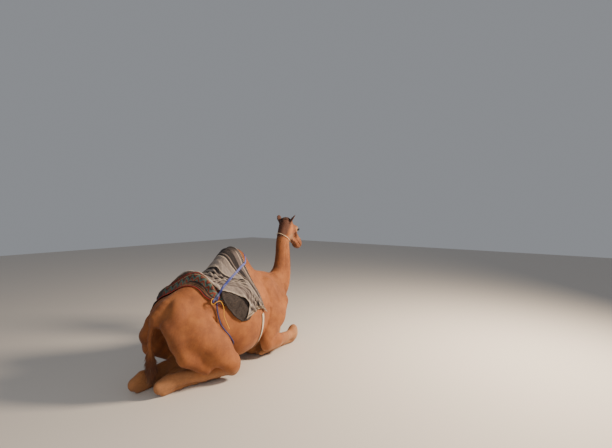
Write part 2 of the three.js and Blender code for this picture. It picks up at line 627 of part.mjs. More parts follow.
// Grid of places raised until the flat facets between them clear the height asked for.
function laid(places) {
  const at = places.map((row) => row.map(([x, a, h]) => place(x, a, h)));
  return places.map((row, j) => row.map(([x, a, h], i) => {
    let short = 0;
    for (const [dj, di] of [[0, 1], [1, 0], [0, -1], [-1, 0], [1, 1], [-1, -1]]) {
      const other = at[j + dj] && at[j + dj][i + di];
      if (other) {
        const middle = add(at[j][i], sub(other, at[j][i]), 0.5);
        const wanted = (h + places[j + dj][i + di][2]) / 2;
        short = Math.max(short, wanted - hull(middle));
      }
    }
    return place(x, a, h + Math.min(short, 16));
  }));
}
function drape(name, base, thickness, columns, angles, hemRight = null) {
  const rows = angles.length - 1;
  const grid = (height) => laid(Array.from({ length: rows + 1 }, (_, j) => columns.map((u) => {
    const angle = hemRight && j === rows ? hemRight(u) : angles[j];
    const x = edge(name, 'rear', angle) * (1 - u) + edge(name, 'front', angle) * u;
    return [x, angle, base(x, angle) + height];
  })));
  const [inner, outer] = [grid(0), grid(thickness)];
  const points = [...inner.flat(), ...outer.flat()];
  const n = columns.length;
  const half = n * (rows + 1);
  const faces = [];
  for (let j = 0; j < rows; j += 1) {
    for (let i = 0; i < n - 1; i += 1) {
      const a = j * n + i;
      faces.push([a, a + 1, a + n + 1], [a, a + n + 1, a + n]);
      faces.push([half + a, half + a + n + 1, half + a + 1], [half + a, half + a + n, half + a + n + 1]);
    }
  }
  const rim = [];
  for (let i = 0; i < n - 1; i += 1) rim.push([i, i + 1]);
  for (let j = 0; j < rows; j += 1) rim.push([j * n + n - 1, (j + 2) * n - 1]);
  for (let i = n - 1; i > 0; i -= 1) rim.push([rows * n + i, rows * n + i - 1]);
  for (let j = rows; j > 0; j -= 1) rim.push([j * n, (j - 1) * n]);
  for (const [a, b] of rim) faces.push([a, half + b, b], [a, half + a, half + b]);
  return { points, faces };
}
node('kilim_rug', drape('kilim', kilimBase, KILIM, [0, 0.25, 0.55, 1],
  [-70, -58, -46, -36, -27, -18, -10, -2, 7, 17, 28, 40, 52]), 0x6b3d33, 0.95);
node('wool_pad', drape('pad', padBase, PAD, [0, 0.25, 0.5, 0.75, 1], [26, 34, 43, 53, 64, 75, 85]), 0x3f2f28, 0.95);
const HEM = (u) => curve(u, [0, 0.55, 0.85, 1], [82, 73, 76, 84]);
node('striped_blanket', drape('striped', stripedBase, STRIPED, [0, 0.12, 0.28, 0.46, 0.64, 0.82, 1],
  [-78, -62, -48, -37, -27, -18, -10, -3, 4, 11, 19, 28, 38, 49, 60, 71, 84], HEM), 0xa08c80, 0.95);

// Flat bands and round ropes following the body; each station is [x, angle, height]
const stations = (list, n) => along(list, n).map(([x, a, h]) => place(x, a, h));
function tube(line, radius, sides, closed = false, swell = () => 1) {
  const n = line.length;
  const rows = line.map((c, i) => {
    const a = closed ? line[(i + n - 1) % n] : line[Math.max(i - 1, 0)];
    const b = closed ? line[(i + 1) % n] : line[Math.min(i + 1, n - 1)];
    const T = unit(sub(b, a));
    const N = outward(c);
    const S = unit(cross(T, N));
    const U = cross(S, T);
    return Array.from({ length: sides }, (_, k) => {
      const t = 2 * Math.PI * k / sides;
      return add(add(c, U, swell(i) * radius[0] * Math.cos(t)), S, swell(i) * radius[1] * Math.sin(t));
    });
  });
  if (!closed) return closeRows(line[0], rows, line[n - 1]);
  const faces = [];
  for (let r = 0; r < n; r += 1) {
    for (let i = 0; i < sides; i += 1) {
      const [a, b] = [r * sides + i, r * sides + (i + 1) % sides];
      const [c, d] = [((r + 1) % n) * sides + i, ((r + 1) % n) * sides + (i + 1) % sides];
      faces.push([a, b, d], [a, d, c]);
    }
  }
  return { points: rows.flat(), faces };
}

// Flat band: width across the body, thickness away from it.
function ribbon(line, [width, thickness]) {
  const last = line.length - 1;
  const rows = line.map((c, i) => {
    const T = unit(sub(line[Math.min(i + 1, last)], line[Math.max(i - 1, 0)]));
    const N = outward(c);
    const S = unit(cross(T, N));
    const U = cross(S, T);
    return [[1, 1], [1, -1], [-1, -1], [-1, 1]].map(([a, b]) => add(add(c, U, a * thickness / 2), S, b * width / 2));
  });
  const { points, faces } = closeRows(line[0], rows, line[last]);
  return { points, faces: faces.map(([a, b, c]) => [a, c, b]) };
}
const top = (x, angle) => stripedBase(x, angle) - FIRST + 12 + 24 * covered('striped', x, angle);
const KNOTS = { right: [-312, 41], left: [-395, -50] };
const STRAP_LINE = [[-292, 38], [-235, 33], [-110, 24], [50, 18], [170, 13], [222, 6], [232, 0], [215, -9], [60, -20],
  [-120, -29], [-290, -41], [-372, -48]];
node('saddle_strap', ribbon(along(STRAP_LINE, 17).map(([x, a]) => place(x, a, top(x, a))), STRAP), 0x8f93c8, 0.7);
const ROPE_LINE = [[-312, 46], [-306, 62], [-300, 80], [-265, 96], [-215, 110], [-160, 122], [-108, 140], [-97, 162],
  [-95, 180], [-97, 198], [-108, 220], [-168, 239], [-210, 250], [-270, 264], [-340, 282], [-390, 304]];
const ropeHeight = (a) => ROPE_R + 25 + 30 * Math.max(ramp((60 - a) / 14), ramp((a - 266) / 12));
node('flank_rope', tube(along(ROPE_LINE, 18).map(([x, a]) => place(x, a, ropeHeight(a))), [ROPE_R, ROPE_R], 8),
  0x20285a, 0.8);
for (const [side, [x, a]] of Object.entries(KNOTS)) {
  const c = place(x, a, 62);
  const line = [-12, -4, 4, 12].map((t) => add(c, [0, 0, 1], t));
  node(`knot_${side}`, grow(line, 10, egg(c, KNOT_R), { up: [1, 0, 0], fan: [40] }), 0x1d2350, 0.8);
}
const GIRTH_LINE = [[262, 84], [266, 92], [262, 104], [250, 120], [240, 140], [236, 160], [235, 180], [236, 200],
  [240, 220], [250, 240], [262, 256], [262, 266], [262, 274]];
node('girth', ribbon(along(GIRTH_LINE, 20).map(([x, a]) => place(x, a, 18)), GIRTH), 0xd8c6b8, 0.8);
// Yellow cord: a bight pulled through the right knot, then its loose end down the flank
const CORD_LINE = [[-337, 41, 58], [-350, 39.5, 57], [-368, 41.5, 56], [-374, 45, 55], [-360, 47.6, 60], [-338, 46.8, 72],
  [-314, 46.6, 78], [-288, 48, 68], [-264, 53, 46], [-258, 60, 34], [-258, 68, 22], [-240, 81, 20], [-216, 92.5, 18]];
node('yellow_cord', tube(along(CORD_LINE, 18).map(([x, a, h]) => place(x, a, h)), [CORD_R, CORD_R], 8), 0xd9a441, 0.8);

// Halter cord round the top of the neck
const HALTER_AT = [932, -2, 1290];
const HALTER_UP = unit([0.62, 0, 1]);
const HALTER_SIDE = [0, 1, 0];
const HALTER_FRONT = cross(HALTER_SIDE, HALTER_UP);
node('halter_cord', tube(Array.from({ length: 16 }, (_, i) => {
  const t = 2 * Math.PI * i / 16;
  return reach((p) => body(p) - HALTER_R - 7, HALTER_AT, [0, 1, 2].map((e) => HALTER_FRONT[e] * Math.cos(t)
    + HALTER_SIDE[e] * Math.sin(t)));
}), [HALTER_R, HALTER_R], 8, true), 0xd8d2c4, 0.8);

// Padded roll across the loin
node('saddle_roll', tube(Array.from({ length: 10 }, (_, i) => ROLL.angle[0] + i / 9 * 70).map((a) => place(rollX(a), a,
  rollR(a) + 10)),
  [1, 1], 10, false, (i) => rollR(ROLL.angle[0] + i / 9 * 70)), 0x3a2a24, 0.95);

export default root;
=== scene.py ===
"""A dromedary camel lying with its legs folded, life size, wearing blankets over its hump.

Metres. +X is the way it faces, +Y its left side, +Z up, and it lies on the floor z = 0.
"""

import math

import bmesh
import bpy
import numpy as np
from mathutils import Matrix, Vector
from mathutils.bvhtree import BVHTree


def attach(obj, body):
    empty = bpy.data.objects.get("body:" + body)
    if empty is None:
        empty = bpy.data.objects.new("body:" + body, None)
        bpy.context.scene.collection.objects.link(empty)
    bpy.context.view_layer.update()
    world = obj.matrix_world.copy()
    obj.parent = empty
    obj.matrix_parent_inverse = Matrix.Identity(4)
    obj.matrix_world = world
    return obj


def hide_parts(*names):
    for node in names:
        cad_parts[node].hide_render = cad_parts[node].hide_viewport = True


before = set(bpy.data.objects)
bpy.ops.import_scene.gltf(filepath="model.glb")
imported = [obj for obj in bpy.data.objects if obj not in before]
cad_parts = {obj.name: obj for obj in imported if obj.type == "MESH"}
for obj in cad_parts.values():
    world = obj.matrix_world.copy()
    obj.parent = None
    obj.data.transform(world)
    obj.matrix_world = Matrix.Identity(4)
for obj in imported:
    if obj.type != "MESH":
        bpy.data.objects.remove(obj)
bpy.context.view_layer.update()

# The animal is drawn with x = 0 under its hump, and moved so that the middle of its box is the frame's origin.
TO_FRAME = np.array((-0.1757, 0.0007, 0.0))


# Viewpoint: a standing person behind the right hip, looking along the back and a little down.
EYE = np.array((-2.6625, -3.1165, 1.612))
LOOK_YAW, LOOK_DOWN = math.radians(37.484), math.radians(1.91)
camera_data = bpy.data.cameras.new("viewpoint")
camera_data.sensor_width = 36.0
camera_data.lens = 22.62
camera = bpy.data.objects.new("viewpoint", camera_data)
bpy.context.collection.objects.link(camera)
look = Vector((math.cos(LOOK_YAW) * math.cos(LOOK_DOWN), math.sin(LOOK_YAW) * math.cos(LOOK_DOWN),
               -math.sin(LOOK_DOWN)))
camera.location = EYE + TO_FRAME
camera.rotation_euler = look.to_track_quat("-Z", "Y").to_euler()
bpy.context.scene.camera = camera


# Studio: a pale matt floor, one big soft light high on the animal's right, and an even pale surround.
def linear(code):
    """Linear colour from an sRGB hex value such as "b9824f"."""
    channels = [int(code[i:i + 2], 16) / 255 for i in (0, 2, 4)]
    return [c / 12.92 if c <= 0.04045 else ((c + 0.055) / 1.055) ** 2.4 for c in channels] + [1.0]


def material(name, colour, roughness, **sockets):
    """A Principled material with its node tree and shader."""
    made = bpy.data.materials.new(name)
    made.use_nodes = True
    shader = made.node_tree.nodes["Principled BSDF"]
    shader.inputs["Base Color"].default_value = linear(colour)
    shader.inputs["Roughness"].default_value = roughness
    for socket, value in sockets.items():
        shader.inputs[socket.replace("_", " ")].default_value = value
    return made, made.node_tree, shader


def add_node(tree, kind, links=(), **settings):
    """Add one node. Settings are attributes, or sockets when the key starts with in_; links are
    (socket of this node, other node's output)."""
    made = tree.nodes.new("ShaderNode" + kind)
    for key, value in settings.items():
        if key.startswith("in_"):
            socket = key[3:]
            made.inputs[int(socket) if socket.isdigit() else socket.replace("_", " ")].default_value = value
        else:
            setattr(made, key, value)
    for socket, output in links:
        tree.links.new(output, made.inputs[socket])
    return made


def put(name, points, faces, finish, smooth=True):
    """A mesh object from points in the shared frame."""
    mesh = bpy.data.meshes.new(name)
    mesh.from_pydata([tuple(p) for p in points], [], [tuple(f) for f in faces])
    mesh.validate()
    mesh.update()
    if smooth:
        mesh.shade_smooth()
    if finish:
        mesh.materials.append(finish)
    made = bpy.data.objects.new(name, mesh)
    bpy.context.collection.objects.link(made)
    return made


floor_finish, tree, shader = material("matt_paint", "cfc8c0", 0.9)
floor_size = 14.0
floor = put("floor", [(-floor_size, -floor_size, 0), (floor_size, -floor_size, 0), (floor_size, floor_size, 0),
                      (-floor_size, floor_size, 0)], [(0, 1, 2, 3)], floor_finish, smooth=False)

world = bpy.data.worlds.new("surround")
world.use_nodes = True
world.node_tree.nodes["Background"].inputs[0].default_value = linear("dfe3ea")
world.node_tree.nodes["Background"].inputs[1].default_value = 0.36
bpy.context.scene.world = world


def softbox(name, place, aim, size, watts, colour):
    light = bpy.data.lights.new(name, "AREA")
    light.shape = "DISK"
    light.size = size
    light.energy = watts
    light.color = linear(colour)[:3]
    lamp = bpy.data.objects.new(name, light)
    lamp.location = place
    lamp.rotation_euler = (Vector(aim) - Vector(place)).to_track_quat("-Z", "Y").to_euler()
    bpy.context.collection.objects.link(lamp)


softbox("key_light", (2.6, -3.6, 3.2), (0.0, 0.0, 0.6), 1.0, 600, "ffeacf")
softbox("fill_light", (-4.4, -3.0, 3.2), (0.0, 0.0, 0.6), 3.5, 85, "f4efe8")


# Body: the flesh is one outline made of rounded masses, each joined to the next with a fillet.
# It is drawn as a distance field, meshed once, and covered by one skin that hides the parted solids.
def curve(t, xs, ys):
    """Smooth curve through a few points, level beyond its ends."""
    xs, ys = np.asarray(xs, float), np.asarray(ys, float)
    slopes = np.gradient(ys, xs)
    t = np.clip(t, xs[0], xs[-1])
    i = np.clip(np.searchsorted(xs, t, side="right") - 1, 0, len(xs) - 2)
    h = xs[i + 1] - xs[i]
    u = (t - xs[i]) / h
    rise = (2 * u**3 - 3 * u**2 + 1) * ys[i] + (3 * u**2 - 2 * u**3) * ys[i + 1]
    return rise + h * ((u**3 - 2 * u**2 + u) * slopes[i] + (u**3 - u**2) * slopes[i + 1])


def ease(v, lo, hi):
    """0 up to lo, 1 from hi on, and a soft step between."""
    t = np.clip((v - lo) / (hi - lo), 0, 1)
    return t * t * (3 - 2 * t)


def pressed(mass, soft, x, y, z):
    """1 in the core of a thin mass, fading to 0 a little outside it."""
    return ease(soft - mass(x, y, z), 0, 2 * soft)


def join(a, b, k):
    """Union of two distances with a fillet of about k."""
    h = np.maximum(k - np.abs(a - b), 0)
    return np.minimum(a, b) - h * h * (0.25 / k)


def carve(a, b, k):
    """Distance a with b cut out of it, the edge rounded by k."""
    return -join(-a, b, k)


def axes(yaw, pitch, roll=0.0):
    """Forward, left and up directions of a turned frame, angles in degrees."""
    cy, sy = math.cos(math.radians(yaw)), math.sin(math.radians(yaw))
    cp, sp = math.cos(math.radians(pitch)), math.sin(math.radians(pitch))
    cr, sr = math.cos(math.radians(roll)), math.sin(math.radians(roll))
    forward, left = np.array((cy * cp, sy * cp, sp)), np.array((-sy, cy, 0.0))
    up = np.cross(forward, left)
    return forward, left * cr + up * sr, up * cr - left * sr


class Egg:
    """Ellipsoid: middle, half sizes, and how it is turned."""

    def __init__(self, middle, radii, yaw=0, pitch=0, roll=0):
        self.middle, self.radii = np.array(middle, float), np.array(radii, float)
        self.axes = axes(yaw, pitch, roll)
        reach = sum(np.abs(a) * r for a, r in zip(self.axes, self.radii))
        self.lo, self.hi = self.middle - reach, self.middle + reach

    def __call__(self, x, y, z):
        x, y, z = x - self.middle[0], y - self.middle[1], z - self.middle[2]
        q0 = q1 = 0
        for a, r in zip(self.axes, self.radii):
            u = (x * a[0] + y * a[1] + z * a[2]) / r
            q0, q1 = q0 + u * u, q1 + (u / r) ** 2
        k0 = np.sqrt(q0) + 1e-6
        return k0 * (k0 - 1) / (np.sqrt(q1) + 1e-6)


class Limb:
    """Tapering chain with an oval section: points, half widths along `side`, half depths across it."""

    def __init__(self, points, widths, depths, side=(0, 1, 0), k=0.012, smooth=0):
        points = np.asarray(points, float)
        if smooth:
            t = np.arange(len(points))
            fine = np.linspace(0, t[-1], t[-1] * smooth + 1)
            points = np.stack([curve(fine, t, points[:, i]) for i in range(3)], 1)
            widths, depths = curve(fine, t, widths), curve(fine, t, depths)
        self.points, self.widths, self.depths, self.k = points, list(widths), list(depths), k
        self.side = np.array(side, float) / np.linalg.norm(side)
        reach = np.maximum(self.widths, self.depths)[:, None]
        self.lo, self.hi = (points - reach).min(0), (points + reach).max(0)

    def __call__(self, x, y, z):
        out = None
        for i in range(len(self.points) - 1):
            a = self.points[i]
            ab = self.points[i + 1] - a
            px, py, pz = x - a[0], y - a[1], z - a[2]
            t = np.clip((px * ab[0] + py * ab[1] + pz * ab[2]) / (ab @ ab), 0, 1)
            px, py, pz = px - t * ab[0], py - t * ab[1], pz - t * ab[2]
            w = self.widths[i] + (self.widths[i + 1] - self.widths[i]) * t
            d = self.depths[i] + (self.depths[i + 1] - self.depths[i]) * t
            across = px * self.side[0] + py * self.side[1] + pz * self.side[2]
            q2, c2 = px * px + py * py + pz * pz, across * across
            r = np.sqrt(c2 / (w * w) + np.maximum(q2 - c2, 0) / (d * d)) + 1e-6
            v = np.maximum(np.sqrt(q2) * (1 - 1 / r), -np.minimum(w, d))
            out = v if out is None else join(out, v, self.k)
        return out


class Joined:
    """Masses joined in turn, each given as (mass, fillet) after the first."""

    def __init__(self, first, *rest):
        self.first, self.rest = first, rest
        self.lo = np.min([first.lo] + [r[0].lo for r in rest], 0)
        self.hi = np.max([first.hi] + [r[0].hi for r in rest], 0)

    def __call__(self, x, y, z):
        d = self.first(x, y, z)
        for mass, k in self.rest:
            d = join(d, mass(x, y, z), k)
        return d


class Sided:
    """A mass drawn for the left side, put on the left (1) or the right (-1)."""

    def __init__(self, mass, side):
        self.mass, self.side = mass, side
        self.lo, self.hi = mass.lo.copy(), mass.hi.copy()
        if side < 0:
            self.lo[1], self.hi[1] = -mass.hi[1], -mass.lo[1]

    def __call__(self, x, y, z):
        return self.mass(x, y * self.side, z)


class Barrel:
    """Trunk: sections along x, each with its top, bottom, half width and how it narrows upwards."""

    sections = np.array([
        [-0.84, 0.7, 0.6, 0.05, 0.3], [-0.72, 0.8, 0.53, 0.14, 0.38], [-0.58, 0.87, 0.43, 0.2, 0.4],
        [-0.4, 0.945, 0.3, 0.235, 0.34], [-0.2, 0.985, 0.17, 0.29, 0.24], [0.02, 0.99, 0.085, 0.34, 0.18],
        [0.2, 0.985, 0.1, 0.32, 0.16], [0.34, 0.965, 0.15, 0.265, 0.16], [0.48, 0.935, 0.12, 0.24, 0.16],
        [0.62, 0.885, 0.22, 0.205, 0.16], [0.75, 0.79, 0.38, 0.145, 0.1], [0.83, 0.7, 0.5, 0.08, 0.1]])
    lo, hi = np.array((-1.0, -0.4, 0.05)), np.array((0.95, 0.4, 1.05))
    roundness = 2.2

    def __call__(self, x, y, z):
        along = self.sections[:, 0]
        stations, where = np.unique(np.ravel(x), return_inverse=True)
        top, bottom, width, taper = (curve(stations, along, self.sections[:, i])[where].reshape(np.shape(x))
                                     for i in (1, 2, 3, 4))
        middle, h = (top + bottom) / 2, (top - bottom) / 2
        beyond = x - np.clip(x, along[0], along[-1])
        v = (z - middle) / h
        u = np.abs(y) / (width * (1 - taper * np.clip(v, -1, 1.2)))
        r = (u**self.roundness + np.abs(v)**self.roundness) ** (1 / self.roundness) + 1e-6
        d = np.maximum(np.sqrt(y * y + (z - middle) ** 2) * (1 - 1 / r), -np.minimum(width, h))
        return np.where(beyond == 0, d, np.hypot(np.maximum(d, 0), beyond))


trunk = Joined(
    Barrel(),
    (Egg((0.08, 0, 0.918), (0.268, 0.165, 0.266)), 0.13),
    (Egg((0.098, 0, 1.098), (0.142, 0.082, 0.117)), 0.1),
    (Egg((0.42, 0, 0.07), (0.13, 0.095, 0.08)), 0.06))
neck = Limb(
    [(0.55, 0, 0.64), (0.7, 0, 0.66), (0.83, 0, 0.735), (0.905, 0, 0.88), (0.925, 0, 1.05), (0.926, 0, 1.2),
     (0.942, -0.002, 1.33), (0.972, -0.004, 1.43)],
    [0.165, 0.15, 0.112, 0.084, 0.07, 0.063, 0.06, 0.064],
    [0.235, 0.21, 0.18, 0.135, 0.108, 0.096, 0.09, 0.086], k=0.02, smooth=3)
tail = Limb(
    [(-0.7, 0, 0.76), (-0.785, -0.005, 0.7), (-0.825, 0, 0.6), (-0.845, 0.01, 0.49), (-0.845, 0.005, 0.38),
     (-0.85, -0.015, 0.27), (-0.865, -0.045, 0.18)],
    [0.05, 0.04, 0.03, 0.024, 0.022, 0.03, 0.012],
    [0.045, 0.034, 0.026, 0.022, 0.022, 0.03, 0.012], k=0.015, smooth=2)

# Head: drawn in its own frame, forward along the face, from a point inside the brain case.
HEAD_AT = np.array((0.968, -0.004, 1.448))
HEAD_YAW, HEAD_PITCH = 12.0, -33.0
HEAD_AXES = axes(HEAD_YAW, HEAD_PITCH)


def to_head(x, y, z):
    x, y, z = x - HEAD_AT[0], y - HEAD_AT[1], z - HEAD_AT[2]
    return tuple(x * a[0] + y * a[1] + z * a[2] for a in HEAD_AXES)


def from_head(q):
    q = np.asarray(q, float)
    return HEAD_AT + q[..., 0:1] * HEAD_AXES[0] + q[..., 1:2] * HEAD_AXES[1] + q[..., 2:3] * HEAD_AXES[2]


class InHead:
    """A mass drawn in the head's frame; with both=True it is drawn for the left and repeated on the right."""

    def __init__(self, mass, both=False):
        self.mass, self.both = mass, both
        lo, hi = mass.lo.copy(), mass.hi.copy()
        if both:
            hi[1] = max(abs(lo[1]), abs(hi[1]))
            lo[1] = -hi[1]
        corners = np.array([from_head((a, b, c)) for a in (lo[0], hi[0]) for b in (lo[1], hi[1])
                            for c in (lo[2], hi[2])])
        self.lo, self.hi = corners.min(0), corners.max(0)

    def __call__(self, x, y, z):
        a, b, c = to_head(x, y, z)
        return self.mass(a, np.abs(b) if self.both else b, c)


skull = Joined(
    Egg((0.045, 0, 0.012), (0.105, 0.086, 0.078)),
    (Egg((0.012, 0, 0.038), (0.062, 0.07, 0.053)), 0.05),
    (Limb([(0.1, 0, 0.005), (0.2, 0, 0), (0.3, 0, -0.005), (0.4, 0, -0.012)], [0.07, 0.06, 0.05, 0.047],
          [0.072, 0.066, 0.056, 0.047], k=0.02), 0.05),
    (Limb([(0.36, 0, -0.014), (0.418, 0, -0.022)], [0.048, 0.05], [0.042, 0.043]), 0.03),
    (Egg((0.395, 0, -0.082), (0.045, 0.034, 0.024), pitch=-5), 0.014))
cheeks = Joined(
    Egg((0.16, 0.068, 0.038), (0.048, 0.028, 0.03)),
    (Egg((0.085, 0.043, -0.045), (0.085, 0.036, 0.07), pitch=10), 0.05),
    (Limb([(0.06, 0.043, -0.095), (0.16, 0.036, -0.088), (0.28, 0.022, -0.078), (0.385, 0.01, -0.07)],
          [0.026, 0.024, 0.022, 0.024], [0.036, 0.032, 0.026, 0.024], k=0.02), 0.045),
    (Egg((0.43, 0.024, -0.048), (0.036, 0.027, 0.028), pitch=-20), 0.02))
head = Joined(InHead(skull), (InHead(cheeks, both=True), 0.04))

# Ears: short leaves standing up and outwards behind the eyes, each hollow towards the front and the outside.
EAR_ROOT, EAR_LENGTH = np.array((-0.014, 0.076, 0.03)), 0.112
EAR_UP = np.array((-0.12, 0.42, 1.0)) / math.sqrt(0.12**2 + 0.42**2 + 1)
EAR_FACING = np.array((math.cos(math.radians(42)), math.sin(math.radians(42)), 0.0))
EAR_FACING = EAR_FACING - (EAR_FACING @ EAR_UP) * EAR_UP
EAR_FACING /= np.linalg.norm(EAR_FACING)
EAR_SIDE = np.cross(EAR_UP, EAR_FACING)


def ear_line(heights, forward):
    """Points up the ear, at shares of its length, pushed towards the hollow."""
    return [EAR_ROOT + EAR_UP * EAR_LENGTH * t + EAR_FACING * f for t, f in zip(heights, forward)]


ear = Limb(ear_line((-0.15, 0.0, 0.22, 0.48, 0.72, 0.9), (0, 0, -0.001, -0.001, 0.001, 0.004)),
           [0.018, 0.022, 0.03, 0.033, 0.026, 0.012], [0.016, 0.016, 0.013, 0.0105, 0.008, 0.0055],
           side=EAR_SIDE, k=0.008)
ear_hollow = Limb(ear_line((0.16, 0.34, 0.56, 0.76, 0.88), (0.013, 0.012, 0.011, 0.01, 0.01)),
                  [0.01, 0.02, 0.0235, 0.017, 0.006], [0.01, 0.01, 0.009, 0.0065, 0.003], side=EAR_SIDE, k=0.008)


def hind_leg(side, back, ham):
    """Thigh, shank and foot folded under; back shifts the hock, ham the rear edge of the thigh."""
    thigh = Joined(
        Limb([(-0.57, 0.12, 0.66), (-0.47, 0.215, 0.5), (-0.35, 0.295, 0.34), (-0.25, 0.345, 0.2)],
             [0.09, 0.12, 0.115, 0.085], [0.18, 0.2, 0.165, 0.115], side=(0.25, 1, 0.45), k=0.05),
        (Limb([(-0.755, 0.12, 0.6), (-0.695 - ham, 0.205, 0.46), (-0.65 - ham, 0.24, 0.33), (-0.48, 0.29, 0.19)],
              [0.055, 0.075, 0.068, 0.06], [0.07, 0.095, 0.09, 0.07], side=(0.25, 1, 0.2), k=0.04), 0.08),
        (Egg((-0.215, 0.355, 0.145), (0.08, 0.07, 0.1), yaw=-10), 0.06))
    shank = Joined(
        Limb([(-0.25, 0.31, 0.13), (-0.44, 0.225, 0.12), (-0.64, 0.155, 0.11), (-0.77 - back, 0.125, 0.1)],
             [0.065, 0.058, 0.044, 0.038], [0.085, 0.08, 0.055, 0.055], k=0.03),
        (Limb([(-0.74 - back, 0.13, 0.095), (-0.815 - back, 0.115, 0.085)], [0.04, 0.036], [0.072, 0.066], k=0.03),
         0.03),
        (Limb([(-0.6, 0.165, 0.15), (-0.75 - back, 0.128, 0.15), (-0.835 - back, 0.112, 0.1)],
              [0.028, 0.022, 0.027], [0.03, 0.022, 0.035], k=0.03), 0.04))
    foot = Joined(
        Limb([(-0.785 - back, 0.115, 0.045), (-0.64, 0.125, 0.042), (-0.49, 0.15, 0.045)], [0.036, 0.03, 0.036],
             [0.05, 0.038, 0.042], k=0.02),
        (Limb([(-0.49, 0.15, 0.045), (-0.41, 0.165, 0.045), (-0.33, 0.18, 0.04)], [0.045, 0.055, 0.065],
              [0.042, 0.042, 0.038], k=0.02), 0.02),
        (Egg((-0.285, 0.155, 0.036), (0.06, 0.036, 0.036), yaw=-6), 0.03),
        (Egg((-0.285, 0.218, 0.036), (0.06, 0.036, 0.036), yaw=6), 0.012))
    return [Sided(mass, side) for mass in (thigh, shank, foot)]


def fore_leg(side):
    """Upper arm, forearm resting on its knee, and the foot turned back under it."""
    arm = Joined(
        Limb([(0.7, 0.17, 0.56), (0.57, 0.215, 0.42), (0.44, 0.235, 0.28)], [0.075, 0.08, 0.07],
             [0.105, 0.12, 0.1], k=0.04),
        (Egg((0.55, 0.15, 0.63), (0.12, 0.075, 0.25), pitch=20), 0.1),
        (Egg((0.375, 0.235, 0.22), (0.075, 0.058, 0.08)), 0.05))
    forearm = Joined(
        Limb([(0.4, 0.235, 0.165), (0.54, 0.23, 0.155), (0.74, 0.185, 0.128), (0.88, 0.15, 0.12)],
             [0.066, 0.064, 0.048, 0.05], [0.095, 0.09, 0.062, 0.06], k=0.03),
        (Egg((0.945, 0.14, 0.125), (0.075, 0.066, 0.105), pitch=-15), 0.04))
    foot = Joined(
        Limb([(0.93, 0.135, 0.05), (0.76, 0.125, 0.042), (0.58, 0.125, 0.042)], [0.04, 0.03, 0.036],
             [0.045, 0.032, 0.038], k=0.02),
        (Limb([(0.58, 0.13, 0.042), (0.5, 0.125, 0.045), (0.44, 0.125, 0.045)], [0.042, 0.05, 0.055],
              [0.04, 0.042, 0.04], k=0.02), 0.02),
        (Egg((0.395, 0.1, 0.045), (0.055, 0.032, 0.034)), 0.03),
        (Egg((0.395, 0.153, 0.045), (0.055, 0.032, 0.034)), 0.012))
    return [Sided(mass, side) for mass in (arm, forearm, foot)]


masses = [(trunk, 0), (neck, 0.1)]
for side, back, ham in ((1, 0.11, 0.03), (-1, 0.005, 0.0)):
    thigh, shank, hind_foot = hind_leg(side, back, ham)
    arm, forearm, fore_foot = fore_leg(side)
    masses += [(arm, 0.06), (Joined(forearm, (fore_foot, 0.01)), 0.03)]
    masses += [(thigh, 0.035), (Joined(shank, (hind_foot, 0.01)), 0.02)]
masses += [(head, 0.04), (InHead(ear, both=True), 0.016), (tail, 0.03)]


# Creases and edges under the coat, drawn for the left: flank fold, elbow, ham, shoulder blade, side of the neck.
# Each is a thin mass, how softly it is pressed in, and how deep; an edge that stands out is negative.
def crease(points, thick, soft, depth):
    return Limb(points, [0.05] * len(points), [thick] * len(points), side=(0.1, 1, 0), k=0.01), soft, depth


CREASES = [
    crease([(-0.35, 0.24, 0.61), (-0.3, 0.27, 0.54), (-0.245, 0.29, 0.47), (-0.192, 0.3, 0.385), (-0.15, 0.29, 0.3),
            (-0.12, 0.28, 0.2)], 0.004, 0.018, 0.03),
    crease([(0.285, 0.23, 0.22), (0.32, 0.25, 0.3), (0.375, 0.258, 0.37), (0.42, 0.25, 0.46), (0.445, 0.235, 0.54)],
           0.003, 0.018, 0.014),
    crease([(-0.64, 0.23, 0.6), (-0.585, 0.27, 0.5), (-0.545, 0.3, 0.4), (-0.49, 0.33, 0.3)], 0.004, 0.024, 0.009),
    crease([(0.47, 0.15, 0.9), (0.54, 0.2, 0.75), (0.6, 0.23, 0.6)], 0.004, 0.026, -0.006),
    crease([(0.37, 0.17, 0.86), (0.43, 0.22, 0.72), (0.46, 0.24, 0.6)], 0.004, 0.03, 0.009),
    crease([(0.8, 0.1, 0.73), (0.885, 0.07, 0.92), (0.9, 0.06, 1.12), (0.925, 0.055, 1.27)], 0.003, 0.016, 0.006)]


FLOOR_FILLET = 0.006        # rounds the flats that the body rests on


def near(part, x, y, z, margin):
    """Points inside a mass's box widened by a margin."""
    return ((x > part.lo[0] - margin) & (x < part.hi[0] + margin) & (y > part.lo[1] - margin)
            & (y < part.hi[1] + margin) & (z > part.lo[2] - margin) & (z < part.hi[2] + margin))


def outline(p, extra=()):
    """Distance of points to the animal's outline, worked out only for the masses near each point."""
    x, y, z = p[:, 0], p[:, 1], p[:, 2]
    d = np.full(len(p), 0.3)
    for mass, k in masses:
        m = near(mass, x, y, z, max(k, 0.03) + 0.03)
        if m.any():
            v = mass(x[m], y[m], z[m])
            d[m] = join(d[m], v, k) if k else np.minimum(d[m], v)
    for line, soft, depth in CREASES:
        m = near(line, x, np.abs(y), z, 2 * soft)
        if m.any():
            d[m] += depth * pressed(line, soft, x[m], np.abs(y[m]), z[m])
    for change in extra:
        d = change(d, p)
    return -join(-d, z, FLOOR_FILLET)


